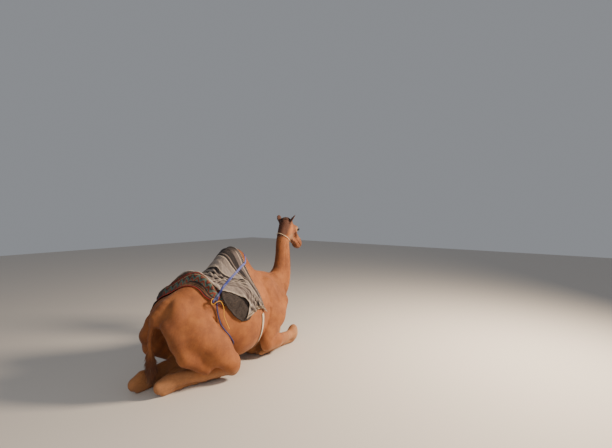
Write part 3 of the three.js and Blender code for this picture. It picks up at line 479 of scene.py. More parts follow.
# Finer shapes of the head: lids over the eyeballs, slit nostrils with raised rims, the mouth and the split lip.
EYE_RADIUS = 0.02
EYE_MIDDLE = np.array((0.165, 0.076, 0.028))     # left eye, in the head's frame
GAZE = np.array((0.4, 0.91, 0.06)) / math.sqrt(0.4**2 + 0.91**2 + 0.06**2)
EYE_FORWARD = np.cross(GAZE, (0.12, 0, 1)) / np.linalg.norm(np.cross(GAZE, (0.12, 0, 1)))
EYE_UP = np.cross(EYE_FORWARD, GAZE)
LID_THICK = 0.0032
OPEN_HALF, OPEN_ABOVE, OPEN_BELOW = 0.018, 0.0085, 0.0095   # half width and heights of the opening


def arc_radius(half, height):
    """Radius of the arc over a chord 2 * half with a rise of height."""
    return (half * half + height * height) / (2 * height)


ABOVE_R, BELOW_R = arc_radius(OPEN_HALF, OPEN_ABOVE), arc_radius(OPEN_HALF, OPEN_BELOW)
BROW = Limb([(0.112, 0.062, 0.046), (0.146, 0.075, 0.053), (0.178, 0.074, 0.052), (0.21, 0.056, 0.044)],
            [0.008, 0.01, 0.009, 0.005], [0.008, 0.008, 0.007, 0.005], k=0.012)
CHEEKBONE = Limb([(0.085, 0.07, 0.0), (0.13, 0.082, -0.004), (0.175, 0.082, -0.006), (0.23, 0.066, -0.016),
                  (0.275, 0.05, -0.018)],
                 [0.009, 0.011, 0.01, 0.008, 0.004], [0.009, 0.009, 0.009, 0.007, 0.004], k=0.012)
ORBIT = Egg(EYE_MIDDLE + GAZE * 0.031 + (0.008, 0, -0.002), (0.042, 0.0168, 0.027), yaw=-20)
TEMPLE = Egg((0.088, 0.098, 0.046), (0.036, 0.03, 0.022), yaw=-12)
MUZZLE_SIDE = Limb([(0.235, 0.088, 0.02), (0.29, 0.078, 0.006), (0.345, 0.07, -0.002)], [0.026, 0.026, 0.02],
                   [0.02, 0.018, 0.014], k=0.02)
JAW_HOLLOW = Limb([(0.175, 0.072, -0.062), (0.24, 0.066, -0.058), (0.3, 0.06, -0.052)], [0.018, 0.018, 0.012],
                  [0.016, 0.014, 0.01], k=0.02)
JAW_UNDER = Limb([(0.215, 0.0, -0.128), (0.275, 0.0, -0.118), (0.335, 0.0, -0.112)], [0.06, 0.06, 0.05],
                 [0.018, 0.02, 0.014], k=0.02)
MASSETER = Egg((0.085, 0.062, -0.052), (0.056, 0.026, 0.046), pitch=20)
NOSTRIL = Limb([(0.449, 0.037, -0.02), (0.44, 0.037, -0.006), (0.424, 0.037, 0.006), (0.402, 0.037, 0.012),
                (0.386, 0.037, 0.013)],
               [0.022, 0.023, 0.022, 0.021, 0.018], [0.0018, 0.0034, 0.0036, 0.0024, 0.0008], k=0.004)
NOSTRIL_RIM = Limb([(0.444, 0.014, 0.0), (0.428, 0.023, 0.014), (0.402, 0.031, 0.022), (0.38, 0.034, 0.022)],
                   [0.009, 0.01, 0.009, 0.006], [0.009, 0.01, 0.009, 0.006], k=0.006)
NOSTRIL_LOWER = Limb([(0.448, 0.028, -0.026), (0.432, 0.038, -0.014), (0.406, 0.043, -0.002)], [0.007, 0.007, 0.005],
                     [0.007, 0.007, 0.005], k=0.006)
MOUTH_LINE = [(0.482, 0.0, -0.06), (0.468, 0.024, -0.06), (0.44, 0.041, -0.06), (0.4, 0.046, -0.056),
              (0.355, 0.045, -0.05), (0.318, 0.047, -0.04), (0.296, 0.05, -0.032)]
MOUTH = Limb(MOUTH_LINE, [0.018, 0.018, 0.018, 0.018, 0.017, 0.014, 0.008],
             [0.0022, 0.0024, 0.0026, 0.0026, 0.0024, 0.002, 0.001], k=0.004)
UPPER_LIP = Limb([(0.462, 0.008, -0.042), (0.446, 0.03, -0.044), (0.405, 0.042, -0.042), (0.355, 0.043, -0.036)],
                 [0.013, 0.012, 0.01, 0.006], [0.014, 0.013, 0.01, 0.006], k=0.01)
LOWER_LIP = Limb([(0.455, 0.006, -0.08), (0.44, 0.024, -0.078), (0.4, 0.034, -0.072), (0.35, 0.038, -0.062)],
                 [0.012, 0.011, 0.009, 0.006], [0.013, 0.012, 0.009, 0.006], k=0.01)
LIP_SPLIT = Limb([(0.484, 0, -0.06), (0.482, 0, -0.036), (0.468, 0, -0.008)], [0.0018, 0.0018, 0.001],
                 [0.014, 0.012, 0.006], k=0.004)
LIP_FOLDS = [Limb([(0.445 - 0.03 * i, 0.04 + 0.003 * i, -0.03), (0.428 - 0.03 * i, 0.045 + 0.002 * i, -0.046)],
                  [0.0012, 0.001], [0.003, 0.002], k=0.003) for i in range(3)]


def face_forms(x, y, z, v):
    """The masses and hollows of the face: cheek, temple, eye socket, brow, eyeball, lips, nostril rims."""
    v = join(v, MASSETER(x, y, z), 0.03)
    for hollow, k in ((TEMPLE, 0.03), (MUZZLE_SIDE, 0.03), (JAW_HOLLOW, 0.03), (JAW_UNDER, 0.04), (ORBIT, 0.014)):
        v = carve(v, hollow(x, y, z), k)
    for mass, k in ((BROW, 0.022), (CHEEKBONE, 0.026)):
        v = join(v, mass(x, y, z), k)
    r = np.linalg.norm(np.stack([x, y, z], 1) - EYE_MIDDLE, axis=1)
    v = join(v, r - EYE_RADIUS - LID_THICK, 0.009)
    for mass, k in ((UPPER_LIP, 0.016), (LOWER_LIP, 0.016), (NOSTRIL_RIM, 0.012), (NOSTRIL_LOWER, 0.012)):
        v = join(v, mass(x, y, z), k)
    return v


def face_creases(x, y, z, v):
    """The fine features: lids and the opening between them, nostrils, mouth, split lip, the ear's hollow."""
    q = np.stack([x, y, z], 1) - EYE_MIDDLE
    across, up, out = q @ EYE_FORWARD, q @ EYE_UP, q @ GAZE
    r = np.linalg.norm(q, axis=1)
    above, below = np.hypot(across, up + ABOVE_R - OPEN_ABOVE), np.hypot(across, up - BELOW_R + OPEN_BELOW)
    for arc, radius, offset, depth in ((above, ABOVE_R, 0.0078, 0.0022), (below, BELOW_R, 0.0068, 0.0016),
                                       (below, BELOW_R, 0.0135, 0.0012)):
        fold = ease(0.0032 - np.abs(arc - radius - offset), 0, 0.0032) * ease(out, 0.004, 0.014)
        v = v + depth * fold * ease(0.024 - np.abs(across), 0, 0.01) * ease(0.036 - r, 0, 0.008)
    v = carve(v, np.maximum(np.maximum(above - ABOVE_R, below - BELOW_R), -out), 0.0022)
    v = carve(v, r - EYE_RADIUS - 0.0004, 0.0008)
    v = v + 0.011 * pressed(NOSTRIL, 0.003, x, y, z) + 0.0075 * pressed(MOUTH, 0.0028, x, y, z)
    v = v + 0.006 * pressed(LIP_SPLIT, 0.0026, x, y, z)
    for fold in LIP_FOLDS:
        v = v + 0.0014 * pressed(fold, 0.0022, x, y, z)
    return carve(v, ear_hollow(x, y, z), 0.006)


def on_head(shape):
    """A change to the outline made in the head's frame, the same on both sides."""
    def change(d, p):
        a, b, c = to_head(*p.T)
        m = (a > -0.12) & (a < 0.52) & (np.abs(b) < 0.19) & (np.abs(c) < 0.19)
        d = d.copy()
        if m.any():
            d[m] = shape(a[m], np.abs(b[m]), c[m], d[m])
        return d
    return change


head_forms, head_creases = on_head(face_forms), on_head(face_creases)


# Skin: one closed surface just inside the outline by the depth of the coat, shallow on the face and feet.
COAT_BODY, COAT_FACE, COAT_FEET = 0.0065, 0.0022, 0.003


def coat_depth(p):
    a, b, c = to_head(p[..., 0], p[..., 1], p[..., 2])
    on_ear = ease(np.abs(b), 0.078, 0.095) * ease(c, 0.03, 0.055)
    face = np.maximum(ease(a, 0.02, 0.16), on_ear) * ease(p[..., 2], 1.05, 1.15)
    feet = 1 - ease(p[..., 2], 0.05, 0.16)
    face = face * ease(c, -0.17, -0.12)
    depth = COAT_BODY + (COAT_FACE - COAT_BODY) * face
    eye_gap = np.sqrt((a - EYE_MIDDLE[0]) ** 2 + (np.abs(b) - EYE_MIDDLE[1]) ** 2 + (c - EYE_MIDDLE[2]) ** 2)
    lips = ease(a, 0.38, 0.43) * ease(p[..., 2], 1.0, 1.1)
    depth = depth * (1 - 0.93 * (1 - ease(eye_gap, 0.025, 0.036))) * (1 - 0.6 * lips)
    return (depth + (COAT_FEET - depth) * feet) * ease(p[..., 2], 0.0, 0.012)


def planes(lo, hi, step, fine_lo, fine_hi):
    """Grid planes a step apart, twice as close between two places."""
    return np.concatenate([np.arange(lo, fine_lo, step), np.arange(fine_lo, fine_hi, step / 2),
                           np.arange(fine_hi, hi + step, step)])


SKIN_STEP = 0.0128      # halved round the head
grid = [planes(-1.03, 1.36, SKIN_STEP, 0.84, 1.36), planes(-0.47, 0.47, SKIN_STEP, -0.155, 0.145),
        planes(-0.03, 1.6, SKIN_STEP, 1.14, 1.6)]


def volume(grid):
    """The outline's distance at every corner of the grid."""
    xs, ys, zs = grid
    d = np.full((len(xs), len(ys), len(zs)), 0.3, np.float32)
    for mass, k in masses:
        margin = max(k, 0.03) + 0.02
        part = tuple(slice(max(0, np.searchsorted(g, l - margin) - 1), np.searchsorted(g, h + margin) + 1)
                     for g, l, h in zip(grid, mass.lo, mass.hi))
        x, y, z = (g[s].astype(np.float32) for g, s in zip(grid, part))
        v = mass(x[:, None, None], y[None, :, None], z[None, None, :]).astype(np.float32)
        d[part] = join(d[part], v, k) if k else np.minimum(d[part], v)
    for line, soft, depth in CREASES:
        for side in (1, -1):
            part = tuple(slice(max(0, np.searchsorted(g, l - 0.03)), np.searchsorted(g, h + 0.03))
                         for g, l, h in zip(grid, Sided(line, side).lo, Sided(line, side).hi))
            x, y, z = (g[s].astype(np.float32) for g, s in zip(grid, part))
            d[part] += depth * pressed(line, soft, x[:, None, None], y[None, :, None] * side, z[None, None, :])
    d = -join(-d, zs[None, None, :].astype(np.float32), FLOOR_FILLET)
    corners = np.stack(np.meshgrid(xs.astype(np.float32), ys.astype(np.float32), zs.astype(np.float32),
                                   indexing="ij"), -1)
    by_head = np.ix_(xs > 0.82, np.abs(ys) < 0.2, zs > 1.1)
    at = corners[by_head]
    d[by_head] = head_forms(d[by_head].ravel(), at.reshape(-1, 3)).reshape(at.shape[:3])
    return d + coat_depth(corners)


def surface(d, grid):
    """One point in every cell that the zero level crosses, and a face round every crossed edge."""
    inside = d < 0
    count = sum(inside[i:i + d.shape[0] - 1, j:j + d.shape[1] - 1, k:k + d.shape[2] - 1].astype(np.int8)
                for i in (0, 1) for j in (0, 1) for k in (0, 1))
    cells = np.argwhere((count > 0) & (count < 8))
    index = -np.ones(count.shape, np.int64)
    index[tuple(cells.T)] = np.arange(len(cells))
    total, crossings = np.zeros((len(cells), 3)), np.zeros(len(cells))
    for axis in range(3):
        others = [e for e in range(3) if e != axis]
        for u in (0, 1):
            for v in (0, 1):
                near_corner, far_corner = [0, 0, 0], [0, 0, 0]
                near_corner[others[0]] = far_corner[others[0]] = u
                near_corner[others[1]] = far_corner[others[1]] = v
                far_corner[axis] = 1
                a, b = (d[tuple((cells + c).T)] for c in (near_corner, far_corner))
                crossed = (a < 0) != (b < 0)
                t = np.where(crossed, a / np.where(crossed, a - b, 1), 0)
                point = np.stack([g[cells[:, e] + near_corner[e]] + (g[cells[:, e] + far_corner[e]]
                                  - g[cells[:, e] + near_corner[e]]) * t for e, g in enumerate(grid)], 1)
                total += point * crossed[:, None]
                crossings += crossed
    faces = []
    for axis in range(3):
        u, v = (axis + 1) % 3, (axis + 2) % 3
        lower, upper = [slice(1, -1)] * 3, [slice(1, -1)] * 3
        lower[axis], upper[axis] = slice(0, -1), slice(1, None)
        a, b = inside[tuple(lower)], inside[tuple(upper)]
        edges = np.argwhere(a != b)
        outward = a[tuple(edges.T)]
        edges[:, u] += 1
        edges[:, v] += 1
        ring = []
        for du, dv in ((1, 1), (0, 1), (0, 0), (1, 0)):
            cell = edges.copy()
            cell[:, u] -= du
            cell[:, v] -= dv
            ring.append(index[tuple(cell.T)])
        ring = np.stack(ring, 1)
        faces.append(np.where(outward[:, None], ring, ring[:, ::-1]))
    return total / crossings[:, None], np.concatenate(faces)


def slope(p, field, step=0.0008):
    """Gradient of a field at points."""
    return np.stack([(field(p + e) - field(p - e)) / (2 * step) for e in np.eye(3) * step], 1)


def settle(p, field, passes=3, furthest=0.01):
    """Points moved onto the zero level of a field."""
    for _ in range(passes):
        g = slope(p, field)
        move = (field(p) / np.maximum((g * g).sum(1), 0.25))[:, None] * g
        size = np.linalg.norm(move, axis=1, keepdims=True)
        p = p - move * np.minimum(1, furthest / np.maximum(size, 1e-9))
    return p


def skin_level(p):
    return outline(p, (head_forms, head_creases)) + coat_depth(p)


points, faces = surface(volume(grid), grid)
mesh = bpy.data.meshes.new("skin")
mesh.from_pydata(points.tolist(), [], faces.tolist())


def refine(mesh, wanted):
    """Split the faces whose middle points are wanted, once."""
    work = bmesh.new()
    work.from_mesh(mesh)
    work.faces.ensure_lookup_table()
    middles = np.array([f.calc_center_median() for f in work.faces])
    chosen = wanted(middles)
    edges = {e for f, take in zip(work.faces, chosen) if take for e in f.edges}
    bmesh.ops.subdivide_edges(work, edges=list(edges), cuts=1, use_grid_fill=True, smooth=0)
    work.to_mesh(mesh)
    work.free()


def places(mesh):
    flat = np.empty(len(mesh.vertices) * 3)
    mesh.vertices.foreach_get("co", flat)
    return flat.reshape(-1, 3)


def move_to(mesh, p):
    mesh.vertices.foreach_set("co", p.ravel())
    mesh.update()


def in_face(p):
    a, b, c = to_head(*p.T)
    return ((a > -0.05) | (np.abs(b) > 0.075) & (a > -0.15)) & (c > -0.16) & (p[:, 2] > 1.1)


def by_eye(p, reach=0.04):
    a, b, c = to_head(*p.T)
    return np.linalg.norm(np.stack([a, np.abs(b), c], 1) - EYE_MIDDLE, axis=1) < reach


def fine_features(p):
    a, b, c = to_head(*p.T)
    return by_eye(p) | (a > 0.29) & (c < -0.02) & (c > -0.09) | (a > 0.375)


def relax(mesh, p, chosen, share=0.6):
    """Points slid along the surface towards the middle of their neighbours."""
    edges = np.empty(len(mesh.edges) * 2, int)
    mesh.edges.foreach_get("vertices", edges)
    a, b = edges[0::2], edges[1::2]
    total, count = np.zeros_like(p), np.zeros(len(p))
    np.add.at(total, a, p[b])
    np.add.at(total, b, p[a])
    np.add.at(count, a, 1)
    np.add.at(count, b, 1)
    move = total / count[:, None] - p
    g = slope(p[chosen], skin_level)
    g /= np.maximum(np.linalg.norm(g, axis=1, keepdims=True), 1e-6)
    m = move[chosen]
    p = p.copy()
    p[chosen] += share * (m - 0.8 * (m * g).sum(1, keepdims=True) * g)
    return p


def into_socket(p):
    """Points between the lids sunk behind the front of the eyeball."""
    a, b, c = to_head(*p.T)
    q = np.stack([a, np.abs(b), c], 1) - EYE_MIDDLE
    across, up, r = q @ EYE_FORWARD, q @ EYE_UP, np.linalg.norm(q, axis=1)
    between = np.maximum(np.hypot(across, up + ABOVE_R - OPEN_ABOVE) - ABOVE_R,
                         np.hypot(across, up - BELOW_R + OPEN_BELOW) - BELOW_R) < -0.0003
    sunk_to = 0.84 * EYE_RADIUS
    sunk = between & (q @ GAZE > 0) & (r > sunk_to) & (r < 2 * EYE_RADIUS)
    q = EYE_MIDDLE + q * np.where(sunk, sunk_to / np.maximum(r, 1e-6), 1)[:, None]
    q[:, 1] *= np.where(b < 0, -1, 1)
    p = p.copy()
    p[sunk] = from_head(q[sunk])
    return p


refine(mesh, in_face)
p = settle(places(mesh), skin_level, passes=3)
move_to(mesh, p)
refine(mesh, fine_features)
refine(mesh, lambda m: by_eye(m, 0.029))
p = places(mesh)
chosen = in_face(p)
p = into_socket(p)
for _ in range(3):
    p[chosen] = settle(p[chosen], skin_level, passes=2)
    p = into_socket(relax(mesh, p, chosen))
p[chosen] = settle(p[chosen], skin_level, passes=2, furthest=0.002)
p = into_socket(p)
move_to(mesh, p + TO_FRAME)
mesh.validate()
mesh.shade_smooth()
skin = bpy.data.objects.new("skin", mesh)
bpy.context.collection.objects.link(skin)
FLESH = ["trunk", "neck", "head", "tail", "ear_left", "ear_right"]
for side in ("left", "right"):
    FLESH += [f"{part}_{side}" for part in ("thigh", "shank", "hind_foot", "upper_arm", "forearm", "fore_foot")]
hide, tree, shader = material("short_hair", "b07c50", 0.85)
mesh.materials.append(hide)
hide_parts(*FLESH)
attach(skin, "root")

# Places on the back are given as x along it and an angle round it, 0 straight up and positive towards the right.
# Rays leave the middle of the trunk at that angle, and cloth lies on whatever they meet.
CORE_HEIGHT = 0.5
FAR_OUT = 1.3


def tree_of(made):
    """Ray-casting tree of a piece, in the animal's own frame."""
    faces = [tuple(f.vertices) for f in made.data.polygons]
    return BVHTree.FromPolygons((places(made.data) - TO_FRAME).tolist(), faces)


def reach(trees, x, angle, gap, from_inside=False):
    """Rays, the distance along each to the outermost surface and a gap above it, and that surface's normal."""
    a = np.radians(angle)
    start = np.stack([x, 0 * x, CORE_HEIGHT + 0 * x], 1)
    way = np.stack([0 * x, -np.sin(a), np.cos(a)], 1)
    out, facing = np.zeros(len(x)), way.copy()
    for i in range(len(x)):
        ray = Vector(way[i])
        for tree in trees:
            if from_inside:
                hit, normal, _, t = tree.ray_cast(Vector(start[i]), ray)
            else:
                hit, normal, _, t = tree.ray_cast(Vector(start[i] + way[i] * FAR_OUT), -ray)
            if hit is not None:
                t = t if from_inside else FAR_OUT - t
                t += gap / max(abs(normal.dot(ray)), 0.45)
                if t > out[i]:
                    out[i], facing[i] = t, normal if normal.dot(ray) > 0 else -normal
    return start, way, out, facing


def blur(t, passes):
    """A grid averaged with its neighbours."""
    for _ in range(passes):
        for axis in (0, 1):
            wide = np.pad(t, [(1, 1) if axis == e else (0, 0) for e in (0, 1)], mode="edge")
            t = (wide[:-2] + 2 * wide[1:-1] + wide[2:]) / 4 if axis == 0 else (
                wide[:, :-2] + 2 * wide[:, 1:-1] + wide[:, 2:]) / 4
    return t


def unit_rows(v):
    return v / np.maximum(np.linalg.norm(v, axis=-1, keepdims=True), 1e-12)


def closed_mesh(name, points, faces, uvs, finish):
    """A mesh with face loops carrying UV maps, its faces turned outwards."""
    mesh = bpy.data.meshes.new(name)
    mesh.from_pydata((points + TO_FRAME).tolist(), [], faces)
    for key, values in uvs.items():
        mesh.uv_layers.new(name=key).data.foreach_set("uv", np.asarray(values, float).ravel())
    work = bmesh.new()
    work.from_mesh(mesh)
    bmesh.ops.recalc_face_normals(work, faces=work.faces)
    work.to_mesh(mesh)
    work.free()
    mesh.shade_smooth()
    mesh.materials.append(finish)
    made = bpy.data.objects.new(name, mesh)
    bpy.context.collection.objects.link(made)
    return made


def sweep(name, line, up, section, finish, closed=False):
    """A closed section carried along a line: (k, 2) offsets across and outwards, one set or one per station."""
    line, section = np.asarray(line, float), np.asarray(section, float)
    n, k = len(line), section.shape[-2]
    ahead = unit_rows(np.roll(line, -1, 0) - np.roll(line, 1, 0) if closed else np.gradient(line, axis=0))
    across = unit_rows(np.cross(ahead, up))
    out = np.cross(across, ahead)
    section = np.broadcast_to(section, (n, k, 2))
    points = line[:, None] + across[:, None] * section[..., :1] + out[:, None] * section[..., 1:]
    gone = np.concatenate([[0], np.cumsum(np.linalg.norm(np.diff(line, axis=0), axis=1))])
    round_it = np.linalg.norm(np.diff(section[0], axis=0, append=section[0][:1]), axis=1)
    across_at = np.concatenate([[0], np.cumsum(round_it)])
    faces, uv = [], []
    for i in range(n if closed else n - 1):
        for j in range(k):
            faces.append((i * k + j, i * k + (j + 1) % k, (i + 1) % n * k + (j + 1) % k, (i + 1) % n * k + j))
            ahead_at = gone[i + 1] if i + 1 < n else gone[-1] + np.linalg.norm(line[0] - line[-1])
            uv += [(across_at[j], gone[i]), (across_at[j + 1], gone[i]), (across_at[j + 1], ahead_at),
                   (across_at[j], ahead_at)]
    if not closed:
        faces += [tuple(range(k)), tuple(range((n - 1) * k, n * k))]
        uv += [(0, 0)] * (2 * k)
    return closed_mesh(name, points.reshape(-1, 3), faces, {"weave": uv}, finish)


def drape(name, rear, front, angles, spacing, thick, rests, gap, finish, hem=None, shape=None, stripe=None):
    """A cloth between its rear and front edges, tables of x against the angle. It lies on `rests`, spans their
    hollows, and shape(s, x, angle, points) raises its folds. UV maps: weave, metres along both threads, and
    stripe, the distance from the front edge over the local width of the pattern."""
    across, down = spacing
    u = np.linspace(0, 1, across)
    angle, u = np.meshgrid(np.linspace(angles[0], angles[-1], down), u, indexing="ij")
    if hem:
        hung = 55       # degrees from which the cloth hangs down to its hem
        angle = np.where(angle > hung, hung + (angle - hung) * (hem(u) - hung) / (angles[-1] - hung), angle)
    x = curve(angle, angles, rear) * (1 - u) + curve(angle, angles, front) * u
    start, way, contact, _ = reach(rests, x.ravel(), angle.ravel(), gap)
    contact = contact.reshape(x.shape)
    t = contact
    for _ in range(5):
        t = np.maximum(blur(t, 7), contact)
    start, way = start.reshape(x.shape + (3,)), way.reshape(x.shape + (3,))
    points = start + way * t[..., None]
    steps = np.linalg.norm(np.diff(points, axis=1), axis=-1)
    s = np.concatenate([np.cumsum(steps[:, ::-1], 1)[:, ::-1], np.zeros((down, 1))], 1)
    if shape:
        raised = shape(s, x, angle, points)
        points = start + way * (t + raised)[..., None]
    arc = np.concatenate([np.zeros((1, across)), np.cumsum(np.linalg.norm(np.diff(points, axis=0), axis=-1), 0)])
    normal = unit_rows(np.cross(np.gradient(points, axis=0), np.gradient(points, axis=1)))
    normal *= np.sign((normal * way).sum(-1, keepdims=True))
    both = np.concatenate([points.reshape(-1, 3), (points + normal * thick).reshape(-1, 3)])
    half, index = across * down, np.arange(across * down).reshape(down, across)
    ring = np.concatenate([index[0, :-1], index[:-1, -1], index[-1, :0:-1], index[:0:-1, 0]])
    inner = np.concatenate([index[1, :-1], index[:-1, -2], index[-2, :0:-1], index[:0:-1, 1]])
    rim = (both[ring] + both[ring + half]) / 2 + unit_rows(both[ring] - both[inner]) * thick * 0.45
    a, b, c, d = index[:-1, :-1].ravel(), index[:-1, 1:].ravel(), index[1:, 1:].ravel(), index[1:, :-1].ravel()
    quads = np.concatenate([np.stack([a, b, c, d], 1), np.stack([a, d, c, b], 1) + half])
    k = np.arange(len(ring))
    after = np.roll(k, -1)
    quads = np.concatenate([quads, np.stack([ring[k], 2 * half + k, 2 * half + after, ring[after]], 1),
                            np.stack([2 * half + k, ring[k] + half, ring[after] + half, 2 * half + after], 1)])
    at = np.concatenate([np.arange(half), np.arange(half), ring])[quads]
    local = np.ones_like(s) if stripe is None else curve(angle, *stripe)
    uvs = {"weave": np.stack([s.ravel()[at], arc.ravel()[at]], -1),
           "stripe": np.stack([(s / local).ravel()[at], angle.ravel()[at] / 100], -1),
           "rear": np.stack([(s[:, :1] - s).ravel()[at], np.repeat(arc[:, :1], across, 1).ravel()[at]], -1),
           "hem": np.stack([np.minimum(arc, arc[-1:] - arc).ravel()[at], arc.ravel()[at]], -1)}
    return closed_mesh(name, np.concatenate([both, rim]), quads.tolist(), uvs, finish)


def thread_bump(tree, shader, pitch, depth, fuzz=0.0006, uv="weave"):
    """Threads crossing over and under each other, pitch apart and depth high, under a little loose fibre."""
    at = add_node(tree, "UVMap", uv_map=uv)
    wave_period = math.pi / 10          # length of one wave at a scale of 1
    warp, weft = (add_node(tree, "TexWave", [("Vector", at.outputs[0])], bands_direction=axis,
                           in_Scale=wave_period / pitch, in_Distortion=0.7, in_Detail=1.0, in_Detail_Scale=2.0)
                  for axis in ("X", "Y"))
    over = add_node(tree, "Math", [(0, warp.outputs["Fac"]), (1, weft.outputs["Fac"])], operation="MULTIPLY")
    under = add_node(tree, "Math", [(0, warp.outputs["Fac"]), (1, weft.outputs["Fac"])], operation="MAXIMUM")
    both = add_node(tree, "Math", [(0, over.outputs[0]), (1, under.outputs[0])], operation="SUBTRACT")
    threads = add_node(tree, "Bump", [("Height", both.outputs[0])], in_Strength=1.0, in_Distance=depth)
    fibre = add_node(tree, "TexNoise", [("Vector", at.outputs[0])], in_Scale=420.0, in_Detail=3.0)
    loose = add_node(tree, "Bump", [("Height", fibre.outputs["Fac"]), ("Normal", threads.outputs[0])],
                     in_Strength=1.0, in_Distance=fuzz)
    tree.links.new(loose.outputs[0], shader.inputs["Normal"])
    return at


def mottled(tree, shader, colour, vector, scale, spread):
    """A colour made lighter and darker by up to spread in patches of 1 / scale, as worn cloth is."""
    patches = add_node(tree, "TexNoise", [("Vector", vector)], in_Scale=scale, in_Detail=4.0, in_Roughness=0.65)
    amount = add_node(tree, "MapRange", [("Value", patches.outputs["Fac"])], in_From_Min=0.3, in_From_Max=0.7,
                      in_To_Min=1 - spread, in_To_Max=1 + spread)
    made = add_node(tree, "VectorMath", [(0, colour), ("Scale", amount.outputs[0])], operation="SCALE")
    tree.links.new(made.outputs[0], shader.inputs["Base Color"])


def ramp_of(tree, value, stops, interpolation="LINEAR"):
    """Colours against a value, stops given as (value, sRGB hex)."""
    made = add_node(tree, "ValToRGB", [("Fac", value)])
    colours = made.color_ramp
    colours.interpolation = interpolation
    while len(colours.elements) > 1:
        colours.elements.remove(colours.elements[-1])
    colours.elements[0].position, colours.elements[0].color = stops[0][0], linear(stops[0][1])
    for place, code in stops[1:]:
        colours.elements.new(place).color = linear(code)
    return made


skin_tree = tree_of(skin)

# Saddle roll: an old dark wool blanket rolled up and tied with cord, pushed under the rug across the loin as padding.
# It is stuffed full and lies slack at its thin right end.
ROLL_ANGLES = (-42, -30, -20, -13, -6, 3, 12, 22, 32)
ROLL_X = (-0.62, -0.59, -0.545, -0.5, -0.45, -0.4, -0.362, -0.328, -0.298)
ROLL_RADII = (0.026, 0.038, 0.042, 0.043, 0.042, 0.038, 0.032, 0.025, 0.016)
ROLL_STATIONS = 90
dark_wool, tree, shader = material("dark_felted_wool", "3a2a25", 0.95)   # matt, almost no highlight
at = thread_bump(tree, shader, 0.0045, 0.0012, 0.0018)
fibres = add_node(tree, "TexNoise", [("Vector", at.outputs[0])], in_Scale=38.0, in_Detail=3.0)
streaks = ramp_of(tree, fibres.outputs["Fac"],
                  [(0.36, "2b211f"), (0.5, "43322b"), (0.6, "5a4438"), (0.7, "33282a")])
mottled(tree, shader, streaks.outputs[0], at.outputs[0], 12.0, 0.25)
station = np.arange(ROLL_STATIONS)
roll_angle = np.linspace(-42, 28, ROLL_STATIONS)
radius = curve(roll_angle, ROLL_ANGLES, ROLL_RADII)
start, way, t, _ = reach([skin_tree], curve(roll_angle, ROLL_ANGLES, ROLL_X), roll_angle, 0.006, from_inside=True)
roll_line = start + way * (t + radius)[:, None]
end_in = np.minimum(station, station[::-1]) / 4
shut = np.sqrt(np.clip(1 - np.clip(1 - end_in, 0, 1) ** 2, 0.02, 1))
turn = np.linspace(0, 2 * math.pi, 40, endpoint=False)
pulled = 1 - 0.13 * sum(np.exp(-((roll_angle - tie) / 1.6) ** 2) for tie in (-35, -18, 2, 20))
lip = 0.93 + 0.075 * (turn / (2 * math.pi))
sag = 1 + 0.05 * np.sin(3 * turn[None] + 0.35 * roll_angle[:, None]) * np.sin(roll_angle / 5.0)[:, None]
section = (radius * shut * pulled)[:, None, None] * (lip * sag)[..., None] * np.stack([np.cos(turn), np.sin(turn)], 1)
saddle_roll = sweep("wool_roll", roll_line, way, section, dark_wool)
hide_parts("saddle_roll")
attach(saddle_roll, "root")

# Kilim rug: a flat-woven wool rug, its bands of triangles in teal and red between cream lines, laid doubled under
# the striped blanket. The rear edge shows.
KILIM_THICK = 0.005
KILIM_ANGLES = (-70, -50, -36, -17, -6, 3, 10, 20, 30, 42, 52)
KILIM_REAR = (-0.7, -0.715, -0.705, -0.67, -0.6, -0.515, -0.455, -0.415, -0.385, -0.32, -0.25)
KILIM_FRONT = (-0.48, -0.46, -0.44, -0.4, -0.33, -0.26, -0.215, -0.19, -0.165, -0.125, -0.1)
kilim_wool, tree, shader = material("flat_woven_wool", "6b3d33", 0.92)   # dyed wool, matt
at = thread_bump(tree, shader, 0.003, 0.0008)
axes_of = add_node(tree, "SeparateXYZ", [(0, add_node(tree, "UVMap", uv_map="rear").outputs[0])])
from_rear, along = axes_of.outputs[0], axes_of.outputs[1]
BAND = 0.14                       # one repeat of the bands across the rug
TOOTH = 0.056                     # one triangle along a band
bands = add_node(tree, "Math", [(0, from_rear)], operation="DIVIDE", in_1=BAND)
band_at = add_node(tree, "Math", [(0, bands.outputs[0])], operation="FRACT")
zigzag = add_node(tree, "Math", [(0, along)], operation="PINGPONG", in_1=TOOTH / 2)
slant = add_node(tree, "Math", [(0, zigzag.outputs[0])], operation="MULTIPLY", in_1=0.36 / (TOOTH / 2))
depth_in = add_node(tree, "Math", [(0, band_at.outputs[0]), (1, slant.outputs[0])], operation="SUBTRACT")
triangles = ramp_of(tree, depth_in.outputs[0], [(0.0, "44564e"), (0.2, "7d6c52"), (0.225, "712c21"), (0.4, "7d6c52"),
                    (0.42, "41544e"), (0.62, "1e1718"), (0.68, "642a20")], "CONSTANT")
# Border stripes in the rug's own colours, and painted shade: the black line from 0.33 lies in the groove between the
# two folds, and the dark line from 0.93 is painted shadow along the blanket's rear edge.
borders_and_painted_shade = ramp_of(tree, band_at.outputs[0], [(0.0, "86261a"), (0.055, "231818"), (0.13, "6d4428"), (0.19, "2a1d1b"),
                  (0.235, "7a5a3c"), (0.26, "3a2520"), (0.33, "191415"), (0.9, "937f60"), (0.93, "2a1d1b")],
                  "CONSTANT")
in_teeth = ramp_of(tree, band_at.outputs[0], [(0.0, "000000"), (0.4, "ffffff"), (0.9, "000000")], "CONSTANT")
design = add_node(tree, "Mix", [(0, in_teeth.outputs[0]), (6, borders_and_painted_shade.outputs[0]), (7, triangles.outputs[0])],
                  data_type="RGBA")
around = add_node(tree, "SeparateXYZ", [(0, add_node(tree, "UVMap", uv_map="stripe").outputs[0])])
plain_part = add_node(tree, "MapRange", [("Value", around.outputs[1])], in_From_Min=-0.21, in_From_Max=-0.26)
darned = add_node(tree, "TexNoise", [("Vector", at.outputs[0])], in_Scale=34.0, in_Detail=2.0)
